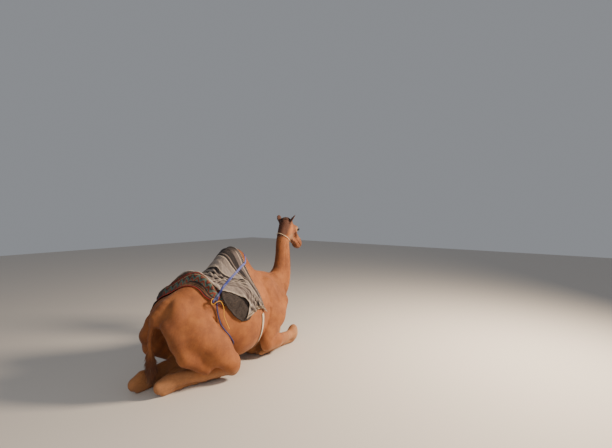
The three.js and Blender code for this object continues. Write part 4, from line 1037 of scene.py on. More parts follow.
plain = ramp_of(tree, darned.outputs["Fac"], [(0.3, "6c1f19"), (0.36, "2c2220"), (0.5, "3d2f2a"), (0.63, "262022"),
                                              (0.66, "23305e")])
design = add_node(tree, "Mix", [(0, plain_part.outputs[0]), (6, design.outputs[2]), (7, plain.outputs[0])],
                  data_type="RGBA")
mottled(tree, shader, design.outputs[2], at.outputs[0], 55.0, 0.35)


def kilim_folds(s, x, angle, points):
    from_rear = x - curve(angle, KILIM_ANGLES, KILIM_REAR)
    sway = 0.012 * np.sin(angle * 0.14)
    bulge = (0.011 * np.exp(-((from_rear - 0.028 - sway) / 0.014) ** 2)
             + 0.01 * np.exp(-((from_rear - 0.085) / 0.022) ** 2))
    return bulge + 0.003 * np.sin(angle * 0.35 + 1) * ease(-from_rear, -0.09, 0.0)


kilim = drape("kilim", KILIM_REAR, KILIM_FRONT, KILIM_ANGLES, (50, 160), KILIM_THICK,
              [skin_tree, tree_of(saddle_roll)], 0.006, kilim_wool, shape=kilim_folds)
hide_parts("kilim_rug")
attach(kilim, "root")

# Wool pad: thick brown felted wool under the right side of the blanket, soft and uneven, showing below its rear hem.
PAD_THICK = 0.012
tweed, tree, shader = material("brown_tweed_felt", "3a302c", 0.95)   # fulled wool with paler fibres, matt
at = thread_bump(tree, shader, 0.004, 0.0014, 0.0016)
fibres = add_node(tree, "TexNoise", [("Vector", at.outputs[0])], in_Scale=150.0, in_Detail=4.0)
flecks = ramp_of(tree, fibres.outputs["Fac"], [(0.4, "211b1a"), (0.55, "362c29"), (0.68, "61554d")])
mottled(tree, shader, flecks.outputs[0], at.outputs[0], 14.0, 0.35)
PAD_ANGLES = (26, 34, 45, 60, 78, 85)
PAD_REAR = (-0.185, -0.228, -0.24, -0.19, -0.12, -0.07)
PAD_FRONT = (0.04, 0.07, 0.09, 0.11, 0.06, 0.02)
pad_folds = lambda s, x, angle, points: 0.003 + 0.003 * np.sin(x * 74 + 2) * np.sin(angle * 0.31)
pad = drape("felt_pad", PAD_REAR, PAD_FRONT, PAD_ANGLES, (44, 64), PAD_THICK,
            [skin_tree, tree_of(kilim)], 0.004, tweed, shape=pad_folds)
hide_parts("wool_pad")
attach(pad, "root")

# Striped blanket: heavy handwoven wool in undyed greys, browns and cream, thrown over the hump and tied down. Its
# folds run with the stripes, flattened under the strap; the rear edge is rolled.
BLANKET_THICK = 0.005
BLANKET_ANGLES = (-78, -40, -20, -7, 3, 15, 25, 34, 40, 50, 62, 72, 84)
BLANKET_REAR = (-0.6, -0.57, -0.51, -0.44, -0.37, -0.31, -0.257, -0.222, -0.13, -0.025, 0.025, 0.01, -0.05)
BLANKET_FRONT = (-0.05, 0.02, 0.07, 0.105, 0.125, 0.15, 0.18, 0.205, 0.225, 0.255, 0.285, 0.305, 0.34)
PATTERN_WIDTH = ((3, 20, 30, 70), (0.43, 0.31, 0.19, 0.17))     # local width of the stripe pattern against the angle
STRAP_X = (-0.292, -0.235, -0.11, 0.05, 0.17, 0.222, 0.232, 0.215, 0.06, -0.12, -0.29, -0.372)
STRAP_ANGLES = (38, 33, 24, 18, 13, 6, 0, -9, -20, -29, -41, -48)
PER_DEGREE = 0.0085     # way round the back for each degree
# Each fold: distance from the front edge at its two ends, the angles of the ends, half width, height
FOLDS = (
    (0.095, 0.07, 14, 88, 0.03, 0.016), (0.165, 0.125, 20, 88, 0.032, 0.024), (0.235, 0.185, 30, 88, 0.026, 0.016),
    (0.285, 0.255, 36, 88, 0.03, 0.02), (0.405, 0.36, -16, 33, 0.02, 0.012), (0.35, 0.31, -10, 26, 0.018, 0.01),
    (0.455, 0.415, -30, 36, 0.017, 0.01), (0.255, 0.29, -34, 10, 0.024, 0.007), (0.05, 0.03, -14, 12, 0.016, 0.009),
    (0.11, 0.095, -12, 10, 0.02, 0.008), (0.12, 0.1, -82, -26, 0.04, 0.016), (0.23, 0.26, -82, -30, 0.04, 0.018),
    (0.38, 0.36, -82, -36, 0.036, 0.015), (0.5, 0.47, -82, -44, 0.028, 0.012))
along_strap = np.linspace(0, len(STRAP_X) - 1, 240)
strap_x, strap_angle = (curve(along_strap, np.arange(len(STRAP_X)), v) for v in (STRAP_X, STRAP_ANGLES))


def blanket_folds(s, x, angle, points):
    total = np.zeros_like(s)
    for s0, s1, a0, a1, half, height in FOLDS:
        along = np.clip((angle - a0) / (a1 - a0), 0, 1)
        middle = s0 + (s1 - s0) * along + 0.006 * np.sin(angle * 0.13 + s0 * 90)
        ridge = ease(1 - np.abs(s - middle) / half, 0, 1)
        swell = 0.55 + 0.45 * ease(along, 0, 1) if a1 > 60 else 0.9 + 0.1 * np.sin(angle * 0.3)
        total += (1.35 * height * ridge * swell * ease(angle, a0 - 5, a0 + 7)
                  * (1 - ease(angle, a1 - 7, a1 + 5)))
    total += 0.0016 * np.sin(s * 160 + 3 * np.sin(angle * 0.21)) * np.sin(angle * 0.5 + s * 40)
    away = np.min(np.hypot(x[..., None] - strap_x[::4], (angle[..., None] - strap_angle[::4]) * PER_DEGREE), axis=-1)
    tight = np.exp(-(away / 0.03) ** 2)
    hang = 0.014 * ease(angle, 66, 86) + 0.01 * ease(-angle, 62, 78)
    rolled = 0.012 * np.exp(-((s[:, :1] - s - 0.012) / 0.009) ** 2)
    rolled = rolled * ease(angle, -48, -32) * (1 - ease(angle, 33, 40))
    return (total + hang + rolled) * (1 - tight) - 0.002 * tight + 0.003 * np.exp(-((away - 0.035) / 0.012) ** 2)


striped_wool, tree, shader = material("handwoven_wool", "a08c80", 0.9)   # undyed wool, matt
at = thread_bump(tree, shader, 0.0032, 0.0009)
stripe_at = add_node(tree, "UVMap", uv_map="stripe")
waver = add_node(tree, "TexNoise", [("Vector", at.outputs[0])], in_Scale=30.0, in_Detail=3.0)
shifted = add_node(tree, "MapRange", [("Value", waver.outputs["Fac"])], in_To_Min=-0.007, in_To_Max=0.007)
across = add_node(tree, "SeparateXYZ", [(0, stripe_at.outputs[0])])
across = add_node(tree, "Math", [(0, across.outputs[0]), (1, shifted.outputs[0])], operation="ADD")
half_way = add_node(tree, "Math", [(0, across.outputs[0])], operation="MULTIPLY", in_1=0.5)
DARK, MID, LIGHT, CREAM = "211b1c", "564b49", "7f736c", "a99a8a"
STRIPES = ((0, "1d191b"), (0.05, MID), (0.1, CREAM), (0.125, "5a4f4c"), (0.25, DARK), (0.39, "6e625b"), (0.42, DARK),
           (0.475, CREAM), (0.5, LIGHT), (0.62, "8d8179"), (0.79, CREAM), (0.82, DARK), (0.91, LIGHT), (0.96, DARK),
           (1.03, CREAM), (1.06, LIGHT), (1.11, DARK), (1.16, LIGHT), (1.25, CREAM), (1.28, MID), (1.36, LIGHT),
           (1.48, DARK), (1.53, LIGHT), (1.64, MID), (1.8, LIGHT))
stripes = ramp_of(tree, half_way.outputs[0], [(place / 2, code) for place, code in STRIPES], "CONSTANT")
dark_part = add_node(tree, "Attribute", attribute_name="dark_part")
fibres = add_node(tree, "TexNoise", [("Vector", at.outputs[0])], in_Scale=160.0, in_Detail=4.0)
speckle = ramp_of(tree, fibres.outputs["Fac"], [(0.4, "1d1819"), (0.55, "352c2a"), (0.66, "5e544e")])
wool = add_node(tree, "Mix", [(0, dark_part.outputs["Fac"]), (6, stripes.outputs[0]), (7, speckle.outputs[0])],
                data_type="RGBA")
# Rolled rear edge, hem strips across both ends, and overcast stitches of white yarn along the front edge
edge_at = add_node(tree, "SeparateXYZ", [(0, add_node(tree, "UVMap", uv_map="rear").outputs[0])])
hem_at = add_node(tree, "SeparateXYZ", [(0, add_node(tree, "UVMap", uv_map="hem").outputs[0])])
on_roll = add_node(tree, "MapRange", [("Value", edge_at.outputs[0])], in_From_Min=0.026, in_From_Max=0.023)
on_hem = add_node(tree, "MapRange", [("Value", hem_at.outputs[0])], in_From_Min=0.047, in_From_Max=0.045)
strip = ramp_of(tree, hem_at.outputs[0],
                [(0.0, "8f7f6e"), (0.02, "1f1a1c"), (0.029, "8f7f6e"), (0.043, "1f1a1c")], "CONSTANT")
stitch = add_node(tree, "Math", [(0, hem_at.outputs[1])], operation="PINGPONG", in_1=0.009)
stitch = add_node(tree, "Math", [(0, stitch.outputs[0])], operation="LESS_THAN", in_1=0.0022)
by_front = add_node(tree, "Math", [(0, across.outputs[0])], operation="LESS_THAN", in_1=0.022)
stitch = add_node(tree, "Math", [(0, stitch.outputs[0]), (1, by_front.outputs[0])], operation="MULTIPLY")
for amount, colour in ((on_roll, None), (on_hem, strip), (stitch, "b9aea0")):
    links = [(0, amount.outputs[0]), (6, wool.outputs[2])] + ([(7, colour.outputs[0])] if colour is strip else [])
    wool = add_node(tree, "Mix", links, data_type="RGBA",
                    in_7=linear(colour if isinstance(colour, str) else "a3968a"))
mottled(tree, shader, wool.outputs[2], at.outputs[0], 26.0, 0.16)
blanket = drape(
    "handwoven_blanket", BLANKET_REAR, BLANKET_FRONT, BLANKET_ANGLES, (90, 210), BLANKET_THICK,
    [skin_tree, tree_of(saddle_roll), tree_of(kilim), tree_of(pad)], 0.004, striped_wool,
    hem=lambda u: curve(u, (0, 0.55, 0.85, 1), (82, 73, 76, 84)), shape=blanket_folds, stripe=PATTERN_WIDTH)
stripe_uv = np.empty(len(blanket.data.loops) * 2)
blanket.data.uv_layers["stripe"].data.foreach_get("uv", stripe_uv)
loop_vertex = np.empty(len(blanket.data.loops), int)
blanket.data.loops.foreach_get("vertex_index", loop_vertex)
t, angle = stripe_uv[0::2], stripe_uv[1::2] * 100
loop_dark = ease(angle, -13, -9) * (1 - ease(angle, 4, 9)) * (1 - ease(t, 0.3, 0.36))
dark_values = np.zeros(len(blanket.data.vertices))
dark_values[loop_vertex] = loop_dark
blanket.data.attributes.new("dark_part", "FLOAT", "POINT").data.foreach_set("value", dark_values)
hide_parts("striped_blanket")
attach(blanket, "root")
layers = [skin_tree, tree_of(kilim), tree_of(pad), tree_of(blanket)]


def on_back(x, angle, height):
    """Points a height above the coat on their rays, and the directions straight out from it."""
    start, way, t, _ = reach([skin_tree], np.asarray(x, float), np.asarray(angle, float), 0.0, from_inside=True)
    for _ in range(14):
        t = t + 0.9 * (height - outline(start + way * t[:, None]))
    points = start + way * t[:, None]
    return points, unit_rows(slope(points, outline))


def through(knots, n):
    """A smooth line through rows of numbers."""
    knots = np.asarray(knots, float)
    at = np.linspace(0, len(knots) - 1, n)
    return np.stack([curve(at, np.arange(len(knots)), knots[:, i]) for i in range(knots.shape[1])], 1)


def even(line, spacing):
    """A line walked again at an even spacing."""
    gone = np.concatenate([[0], np.cumsum(np.linalg.norm(np.diff(line, axis=0), axis=1))])
    at = np.linspace(0, gone[-1], max(int(gone[-1] / spacing), 3))
    return np.stack([np.interp(at, gone, line[:, i]) for i in range(line.shape[1])], 1)


def smooth_line(line, passes):
    line = line.copy()
    for _ in range(passes):
        line[1:-1] = (line[:-2] + 2 * line[1:-1] + line[2:]) / 4
    return line


def flat_section(width, thick, n=7):
    """Outline of flat webbing, its two edges rounded."""
    across = np.linspace(-0.5, 0.5, n) * width
    top = np.stack([across, np.full(n, thick / 2)], 1)
    return np.concatenate([top * (1, 1), [[width / 2 + thick * 0.3, 0]], top[::-1] * (1, -1),
                           [[-width / 2 - thick * 0.3, 0]]])


def rope_section(radius, stations, spacing, lay, strands=3, sides=18):
    """Sections of laid rope: strands side by side, turning once in each length of lay."""
    turn = np.linspace(0, 2 * math.pi, sides, endpoint=False)
    twist = np.arange(stations)[:, None] * spacing / lay * 2 * math.pi
    lobes = np.abs(np.cos((turn[None] - twist) * strands / 2))
    r = radius * (0.8 + 0.2 * np.sqrt(lobes))
    return r[..., None] * np.stack([np.cos(turn), np.sin(turn)], 1)


# Saddle strap: flat polypropylene webbing from knot to knot over the front of the hump, pulled tight on the blanket.
STRAP_WIDTH, STRAP_THICK = 0.021, 0.0026
webbing, tree, shader = material("polypropylene_webbing", "5560a8", 0.42)   # smooth plastic tapes, a dull shine
at = thread_bump(tree, shader, 0.0028, 0.0005, 0.0001)
weave_at = add_node(tree, "SeparateXYZ", [(0, at.outputs[0])])
# Painted shade and light along the strap: darkest by the right knot, lightest over the top of the hump, darker again
# down the left side.
painted_shade_and_light = ramp_of(tree, weave_at.outputs[1],
                [(0.0, "1d235c"), (0.06, "252c6c"), (0.14, "2c3680"), (0.5, "38428c"), (1.0, "2c3680")])
mottled(tree, shader, painted_shade_and_light.outputs[0], at.outputs[0], 30.0, 0.1)
start, way, t, facing = reach(layers, strap_x, strap_angle, 0.001 + STRAP_THICK / 2)
line = start + way * t[:, None]
for _ in range(12):
    line = smooth_line(line, 2)
    lifted = ((start + way * t[:, None] - line) * facing).sum(1, keepdims=True)
    line = line + np.maximum(lifted, 0) * facing
line = even(np.concatenate([line, smooth_line(facing, 20)], 1), 0.008)
strap = sweep("tie_strap", line[:, :3], line[:, 3:], flat_section(STRAP_WIDTH, STRAP_THICK), webbing)
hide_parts("saddle_strap")
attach(strap, "root")

# Knots: the strap's ends tied to the flank rope, each a tight overhand knot with a short tail.
knot_cord, tree, shader = material("navy_polypropylene", "20275e", 0.5)   # dark plastic fibre, a dull shine
at = thread_bump(tree, shader, 0.0026, 0.0005, 0.0003)
KNOT_HALF = np.array((0.017, 0.019, 0.02))
KNOTS = {"right": (-0.312, 41), "left": (-0.395, -50)}
knot_at = {}
for side, (x, angle) in KNOTS.items():
    middle, facing = on_back([x], [angle], 0.05)
    knot_at[side] = middle[0]
    turn = np.linspace(0, 2 * math.pi, 120, endpoint=False)
    wound = np.stack([np.sin(turn) + 2 * np.sin(2 * turn), np.cos(turn) - 2 * np.cos(2 * turn),
                      -np.sin(3 * turn)], 1) / 3
    out = facing[0]
    right = unit_rows(np.cross(out, (0, 0, 1)))
    line = middle[0] + wound @ np.stack([right, np.cross(right, out), out * 0.8]) * KNOT_HALF.mean() * 0.82
    inner = line - middle[0]
    knot = sweep(f"tied_knot_{side}", line, unit_rows(inner + 1e-5), rope_section(0.0062, 120, 0.0015, 0.022),
                 knot_cord, closed=True)
    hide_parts(f"knot_{side}")
    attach(knot, "root")
    bends = ([(0, 0, 0), (-0.02, -0.004, 0.01), (-0.036, -0.016, 0.013), (-0.041, -0.034, 0.006)]
             if side == "right" else [(0, 0, 0), (0.016, -0.01, 0.008), (0.026, -0.03, 0.004)])
    tail_line = middle[0] + through(bends, 30) @ np.stack([-right, np.cross(right, out), out])
    stub = sweep(f"knot_end_{side}", tail_line, out, flat_section(0.016, 0.003, 5),
                 webbing if side == "right" else knot_cord)
    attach(stub, "root")

# Flank rope: three-strand rope from knot to knot under the belly behind the girth, drawn tight.
ROPE_RADIUS = 0.007
ROPE_LINE = [(-0.312, 46), (-0.306, 62), (-0.3, 80), (-0.265, 96), (-0.215, 110), (-0.16, 122), (-0.108, 140),
             (-0.097, 162), (-0.095, 180), (-0.097, 198), (-0.108, 220), (-0.168, 239), (-0.21, 250), (-0.27, 264),
             (-0.34, 282), (-0.39, 304)]
route = through(ROPE_LINE, 160)
line, facing = on_back(route[:, 0], route[:, 1], ROPE_RADIUS)
line[0], line[-1] = knot_at["right"], knot_at["left"]
for _ in range(16):
    line = smooth_line(line, 4)
    buried = ROPE_RADIUS - outline(line)
    line[1:-1] += (np.maximum(buried, 0)[:, None] * slope(line, outline))[1:-1]
    line[:, 2] = np.maximum(line[:, 2], ROPE_RADIUS + 0.001)
line = even(line, 0.005)
flank_rope = sweep("laid_rope", line, unit_rows(slope(line, outline)),
                   rope_section(ROPE_RADIUS, len(line), 0.005, 0.05), knot_cord)
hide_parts("flank_rope")
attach(flank_rope, "root")

# Girth: cream cotton webbing with a dark thread down its middle, from hem to hem under the chest.
GIRTH_WIDTH, GIRTH_THICK = 0.042, 0.003
GIRTH_LINE = [(0.262, 84), (0.266, 92), (0.262, 104), (0.25, 120), (0.24, 140), (0.236, 160), (0.235, 180),
              (0.236, 200), (0.24, 220), (0.25, 240), (0.262, 256), (0.262, 266), (0.262, 274)]
cotton, tree, shader = material("cotton_webbing", "cdbfa9", 0.85)   # undyed cotton, matt
at = thread_bump(tree, shader, 0.003, 0.0006)
weave_at = add_node(tree, "SeparateXYZ", [(0, at.outputs[0])])
across = add_node(tree, "Math", [(0, weave_at.outputs[0])], operation="DIVIDE", in_1=0.1)
girth_stripes = ramp_of(tree, across.outputs[0], [(0.0, "cdbfa9"), (0.19, "3b2c28"), (0.23, "cdbfa9"),
                                                  (0.64, "3b2c28"), (0.68, "cdbfa9")], "CONSTANT")
mottled(tree, shader, girth_stripes.outputs[0], at.outputs[0], 22.0, 0.15)
route = through(GIRTH_LINE, 120)
line, facing = on_back(route[:, 0], route[:, 1], GIRTH_THICK)
line = even(np.concatenate([smooth_line(line, 6), facing], 1), 0.01)
girth = sweep("cotton_girth", line[:, :3], line[:, 3:], flat_section(GIRTH_WIDTH, GIRTH_THICK), cotton)
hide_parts("girth")
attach(girth, "root")

# Yellow cord: thin laid nylon cord, a bight pulled through the right knot and its loose end hanging down the flank.
CORD_RADIUS = 0.0035
CORD_LINE = [(-0.337, 41, 0.058), (-0.35, 39.5, 0.057), (-0.368, 41.5, 0.056), (-0.374, 45, 0.055),
             (-0.36, 47.6, 0.06), (-0.338, 46.8, 0.072), (-0.314, 46.6, 0.078), (-0.288, 48, 0.068),
             (-0.264, 53, 0.046), (-0.258, 60, 0.034), (-0.258, 68, 0.022), (-0.24, 81, 0.02), (-0.216, 92.5, 0.018)]
yellow, tree, shader = material("yellow_nylon", "d79a2b", 0.5)   # dyed nylon fibre, a dull shine
at = thread_bump(tree, shader, 0.0016, 0.0003, 0.0002)
route = through(CORD_LINE, 200)
line, facing = on_back(route[:, 0], route[:, 1], route[:, 2])
line = even(smooth_line(line, 8), 0.0025)
cord = sweep("laid_cord", line, unit_rows(slope(line, outline)),
             rope_section(CORD_RADIUS, len(line), 0.0025, 0.018, 3, 12), yellow)
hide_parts("yellow_cord")
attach(cord, "root")

# Halter cord: thin twisted cotton round the top of the neck, closed in a ring that lies in the coat.
HALTER_RADIUS = 0.003
HALTER_AT = np.array((0.932, -0.002, 1.29))
halter_up = unit_rows(np.array((0.62, 0.0, 1.0)))
halter_side = np.array((0.0, 1.0, 0.0))
halter_front = np.cross(halter_side, halter_up)
natural, tree, shader = material("natural_cotton_cord", "c9b79a", 0.85)   # undyed cotton, matt
at = thread_bump(tree, shader, 0.0015, 0.0003, 0.0003)
turn = np.linspace(0, 2 * math.pi, 150, endpoint=False)
way = np.outer(np.cos(turn), halter_front) + np.outer(np.sin(turn), halter_side)
t = np.full(150, 0.06)
for _ in range(30):
    t += 0.8 * (HALTER_RADIUS - 0.0005 - outline(HALTER_AT + way * t[:, None]))
line = HALTER_AT + way * t[:, None]
halter = sweep("twisted_halter", line, way, rope_section(HALTER_RADIUS, 150, 0.0028, 0.02, 2, 12), natural,
               closed=True)
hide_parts("halter_cord")
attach(halter, "root")

# Eyes: glass eyes as taxidermists set them, dark brown with a wide oval pupil, the front bulging a little.
eye_glass, tree, shader = material("glass_eye", "1c0f08", 0.05, IOR=1.45, Specular_IOR_Level=0.25)   # wet gloss
eye_at = add_node(tree, "SeparateXYZ", [(0, add_node(tree, "UVMap", uv_map="weave").outputs[0])])
wide = add_node(tree, "Math", [(0, eye_at.outputs[0])], operation="MULTIPLY", in_1=0.62)
both = add_node(tree, "CombineXYZ", [(0, wide.outputs[0]), (1, eye_at.outputs[1])])
pupil = add_node(tree, "VectorMath", [(0, both.outputs[0])], operation="LENGTH")
whole = add_node(tree, "VectorMath", [(0, add_node(tree, "UVMap", uv_map="weave").outputs[0])], operation="LENGTH")
iris = ramp_of(tree, whole.outputs["Value"],
               [(0.0, "2c170c"), (0.5, "34190d"), (0.66, "190c07"), (0.78, "241a16"), (1.0, "5a4a40")])
dark_pupil = ramp_of(tree, pupil.outputs["Value"], [(0.26, "ffffff"), (0.31, "000000")])
tree.links.new(add_node(tree, "Mix", [(0, dark_pupil.outputs[0]), (6, iris.outputs[0])], data_type="RGBA",
                        in_7=linear("050303")).outputs[2], shader.inputs["Base Color"])
RINGS, SIDES = 40, 64
for side, sign in (("left", 1), ("right", -1)):
    polar = np.linspace(0, math.pi, RINGS + 1)[1:-1]
    turn = np.linspace(0, 2 * math.pi, SIDES, endpoint=False)
    swell = 1 + 0.05 * np.exp(-(polar / 0.55) ** 4)
    radius = (EYE_RADIUS * swell)[:, None]
    flip = np.array((1, sign, 1))
    ways = [v * flip for v in (GAZE, EYE_FORWARD, EYE_UP)]
    local = (np.cos(polar)[:, None, None] * ways[0] + np.sin(polar)[:, None, None]
             * (np.cos(turn)[None, :, None] * ways[1] + np.sin(turn)[None, :, None] * ways[2]))
    middle = EYE_MIDDLE * flip
    q = np.concatenate([middle + (radius[..., None] * local).reshape(-1, 3), [middle + ways[0] * EYE_RADIUS * 1.05],
                        [middle - ways[0] * EYE_RADIUS]])
    flat = np.concatenate([((polar / (math.pi / 2))[:, None, None] * np.stack([np.cos(turn), np.sin(turn)], 1)[None]
                            ).reshape(-1, 2), [(0, 0)], [(2, 0)]])
    n = len(polar)
    faces = [(i * SIDES + j, i * SIDES + (j + 1) % SIDES, (i + 1) * SIDES + (j + 1) % SIDES, (i + 1) * SIDES + j)
             for i in range(n - 1) for j in range(SIDES)]
    faces += [(n * SIDES, (j + 1) % SIDES, j) for j in range(SIDES)]
    faces += [(n * SIDES + 1, (n - 1) * SIDES + j, (n - 1) * SIDES + (j + 1) % SIDES) for j in range(SIDES)]
    eyeball = closed_mesh(f"eyeball_{side}", from_head(q), faces, {"weave": [flat[v] for f in faces for v in f]},
                          eye_glass)
    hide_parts(f"eye_{side}")
    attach(eyeball, "root")

# Coat: short summer hair lying flat, longer on the crown, nape, throat and tail. Tufts are solid blades rooted in
# the skin; between them the hair is bump on the skin. Skin and tufts share the colour marks below, with painted shade
# on the rear end.
DOWN_BACK = unit_rows(np.array((-0.55, 0.0, -0.83)))
LIES = [(trunk, DOWN_BACK), (neck, np.array((-0.1, 0.0, -1.0))), (tail, np.array((-0.15, 0.0, -1.0))),
        (head, -HEAD_AXES[0] - 0.25 * HEAD_AXES[2])]
LIES += [(InHead(Sided(ear, side)),
          EAR_UP[0] * HEAD_AXES[0] + side * EAR_UP[1] * HEAD_AXES[1] + EAR_UP[2] * HEAD_AXES[2])
         for side in (1, -1)]
for side, back, ham in ((1, 0.11, 0.03), (-1, 0.005, 0.0)):
    thigh, shank, hind_foot = hind_leg(side, back, ham)
    arm, forearm, fore_foot = fore_leg(side)
    LIES += [(piece, np.array(way)) for piece, way in (
        (thigh, (-0.1, 0, -1.0)), (shank, (-1.0, 0, -0.15)), (hind_foot, (1.0, 0, 0.0)),
        (arm, (-0.15, 0, -1.0)), (forearm, (1.0, 0, -0.15)), (fore_foot, (-1.0, 0, 0.0)))]


def bump_at(p, middle, size, both=True):
    """1 at a place, fading to 0 a size away; both sides of the body unless said."""
    q = p - middle
    if both:
        q = np.stack([q[:, 0], np.abs(p[:, 1]) - middle[1], q[:, 2]], 1)
    return ease(1 - np.linalg.norm(q / size, axis=1), 0, 1)


def ripple(p, scale, seed):
    """Smooth patches between -1 and 1, about 1 / scale across."""
    total = 0
    for i in range(4):
        direction = unit_rows(np.sin(np.array((1.7, 4.1, 2.9)) * (i + 1) * (seed + 1.3)))
        total = total + np.sin(p @ direction * scale * (1 + 0.37 * i) + seed * 5 + i)
    return total / 4


def lie_of_coat(p, normal):
    """Which way the hair points along the skin, and how much each of four main ways counts."""
    total, ways = np.zeros_like(p), np.zeros((len(p), 4))
    for mass, way in LIES:
        m = near(mass, p[:, 0], p[:, 1], p[:, 2], 0.08)
        weight = np.zeros(len(p))
        if m.any():
            weight[m] = np.exp(-np.maximum(mass(p[m, 0], p[m, 1], p[m, 2]) + 0.005, 0) / 0.02)
        total += weight[:, None] * way
        kind = 3 if mass is head else 2 if mass in (neck, tail) else 1 if abs(way[0]) > 0.9 else 0
        ways[:, kind] += weight
    swirl = 0.16 * ripple(p, 9.0, 3)
    total += 1e-4
    flat = total - (total * normal).sum(1, keepdims=True) * normal
    flat = unit_rows(flat)
    flat = unit_rows(flat + np.cross(normal, flat) * swirl[:, None])
    return flat, ways / np.maximum(ways.sum(1, keepdims=True), 1e-6)


def markings_and_shade(p):
    """Dark, pale and bare amounts of the coat, from 0 to 1, at points in the animal's frame. The dark amount also
    holds painted shade on the rear end.
    """
    x, y, z = p.T
    a, b, c = to_head(x, y, z)
    on_head = ease(a, -0.12, -0.05) * ease(z, 1.22, 1.32)
    neck_x = curve(z, (0.7, 0.88, 1.05, 1.2, 1.33, 1.43), (0.8, 0.905, 0.925, 0.926, 0.942, 0.972))
    on_neck = ease(z, 0.82, 0.98) * ease(x, 0.72, 0.8)
    behind = (neck_x - x) / 0.09
    streaks = 0.5 + 0.5 * np.sin(y * 120 + 2 * np.sin(z * 7))
    dark = 0.92 * ease(x, 0.8, 0.84) * ease(z, 1.27, 1.33) * (1 - ease(a, 0.01, 0.12))
    dark = np.max([
        dark * (1 - ease(x - 0.55 * (z - 1.4), 0.945, 1.0)),
        on_neck * (0.3 * ease(behind, 0.2, 0.9) * streaks + 0.12 * ease(behind, 0.6, 1.1)),
        0.4 * on_neck * ease(-behind, 0.55, 1.0),
        0.3 * bump_at(p, (0.1, 0, 1.2), (0.22, 0.14, 0.16), both=False),
        ease(-x, 0.79, 0.83) * ease(-np.abs(y), -0.08, -0.05) * 0.85 * ease(-z, -0.5, -0.28),
        # painted shade over the rear end, behind and between the thighs
        0.28 * ease(-x, 0.6, 0.78) * ease(z, 0.25, 0.42),
        0.22 * bump_at(p, (0.62, 0.16, 0.7), (0.22, 0.16, 0.24))
    ], axis=0)
    in_face = np.stack([a, np.abs(b), c], 1)
    around_eye = ease(1 - np.linalg.norm(in_face - EYE_MIDDLE, axis=1) / 0.05, 0, 0.8)
    pale = np.max([
        0.95 * bump_at(p, (0.965, 0.14, 0.125), (0.12, 0.1, 0.13)),
        0.2 * ease(-z, -0.26, -0.12) * (1 - ease(np.abs(y), 0.2, 0.3)),
        0.2 * ease(-z, -0.16, -0.08),
        0.45 * around_eye * on_head,
        0.4 * ease(a, 0.3, 0.42) * on_head,
        0.25 * on_head * ease(-c, 0.05, 0.11) * ease(c, -0.16, -0.12) * ease(a, 0.03, 0.1)
    ], axis=0)
    lid = ease(1 - np.abs(np.linalg.norm(in_face - EYE_MIDDLE, axis=1) - EYE_RADIUS) / 0.007, 0, 1)
    nostril = ease(0.012 - NOSTRIL(a, np.abs(b), c), 0, 0.01)
    lips = ease(0.009 - MOUTH(a, np.abs(b), c), 0, 0.008)
    bare = np.max([
        0.9 * bump_at(p, (0.42, 0, 0.02), (0.14, 0.11, 0.07), both=False),
        0.7 * bump_at(p, (0.985, 0.14, 0.05), (0.07, 0.06, 0.06)),
        0.8 * bump_at(p, (-0.245, 0.36, 0.055), (0.07, 0.06, 0.06)),
        0.85 * lid * ease(np.abs(b), 0.05, 0.07) * on_head,
        0.9 * nostril * on_head,
        0.7 * lips * on_head
    ], axis=0)
    toes = np.maximum(bump_at(p, (-0.235, 0.19, 0.045), (0.05, 0.085, 0.05)),
                      bump_at(p, (0.345, 0.127, 0.045), (0.05, 0.07, 0.05)))
    bare = np.maximum(bare, 0.6 * toes)
    return np.stack([dark, pale, bare], 1)


def coat_finish(name, roughness=0.8):
    """Camel hair: matt, tan, with the coat's colour marks and painted shade, and a light and dark strand here and
    there.
    """
    made, tree, shader = material(name, "b07c50", roughness, Sheen_Weight=0.08, Sheen_Roughness=0.5)
    marks = add_node(tree, "SeparateColor", [(0, add_node(tree, "Attribute", attribute_name="markings_and_shade").outputs[0])])
    object_at = add_node(tree, "TexCoord").outputs["Object"]
    patches = add_node(tree, "TexNoise", [("Vector", object_at)], in_Scale=7.0, in_Detail=5.0, in_Roughness=0.6)
    tan = ramp_of(tree, patches.outputs["Fac"], [(0.32, "7a4119"), (0.5, "8e5021"), (0.68, "9f5f2b")])
    colour = tan.outputs[0]
    for channel, code in ((0, "401c0d"), (1, "d2ad80"), (2, "42302a")):
        colour = add_node(tree, "Mix", [(0, marks.outputs[channel]), (6, colour)], data_type="RGBA",
                          in_7=linear(code)).outputs[2]
    return made, tree, shader, colour, object_at


hair_skin, tree, shader, colour, object_at = coat_finish("short_hair")
weights = add_node(tree, "SeparateColor", [(0, add_node(tree, "Attribute", attribute_name="lie").outputs[0])])
height = None
for i, way in enumerate((DOWN_BACK, np.array((1.0, 0.0, 0.0)), np.array((0.0, 0.0, 1.0)), HEAD_AXES[0])):
    stretched = add_node(tree, "VectorMath", [(0, object_at)], operation="DOT_PRODUCT", in_1=tuple(way))
    pushed = add_node(tree, "VectorMath", [("Scale", stretched.outputs["Value"])], operation="SCALE",
                      in_0=tuple(0.9 * way))
    streak_at = add_node(tree, "VectorMath", [(0, object_at), (1, pushed.outputs[0])], operation="SUBTRACT")
    streak = add_node(tree, "TexNoise", [("Vector", streak_at.outputs[0])], in_Scale=330.0, in_Detail=3.0,
                      in_Roughness=0.6)
    if i < 3:
        weighed = add_node(tree, "Math", [(0, streak.outputs["Fac"]), (1, weights.outputs[i])], operation="MULTIPLY")
    else:
        rest = add_node(tree, "Attribute", attribute_name="lie")
        weighed = add_node(tree, "Math", [(0, streak.outputs["Fac"]), (1, rest.outputs["Alpha"])],
                           operation="MULTIPLY")
    height = weighed if height is None else add_node(tree, "Math", [(0, height.outputs[0]), (1, weighed.outputs[0])],
                                                     operation="ADD")
hairs = add_node(tree, "Bump", [("Height", height.outputs[0])], in_Strength=1.0, in_Distance=0.0022)
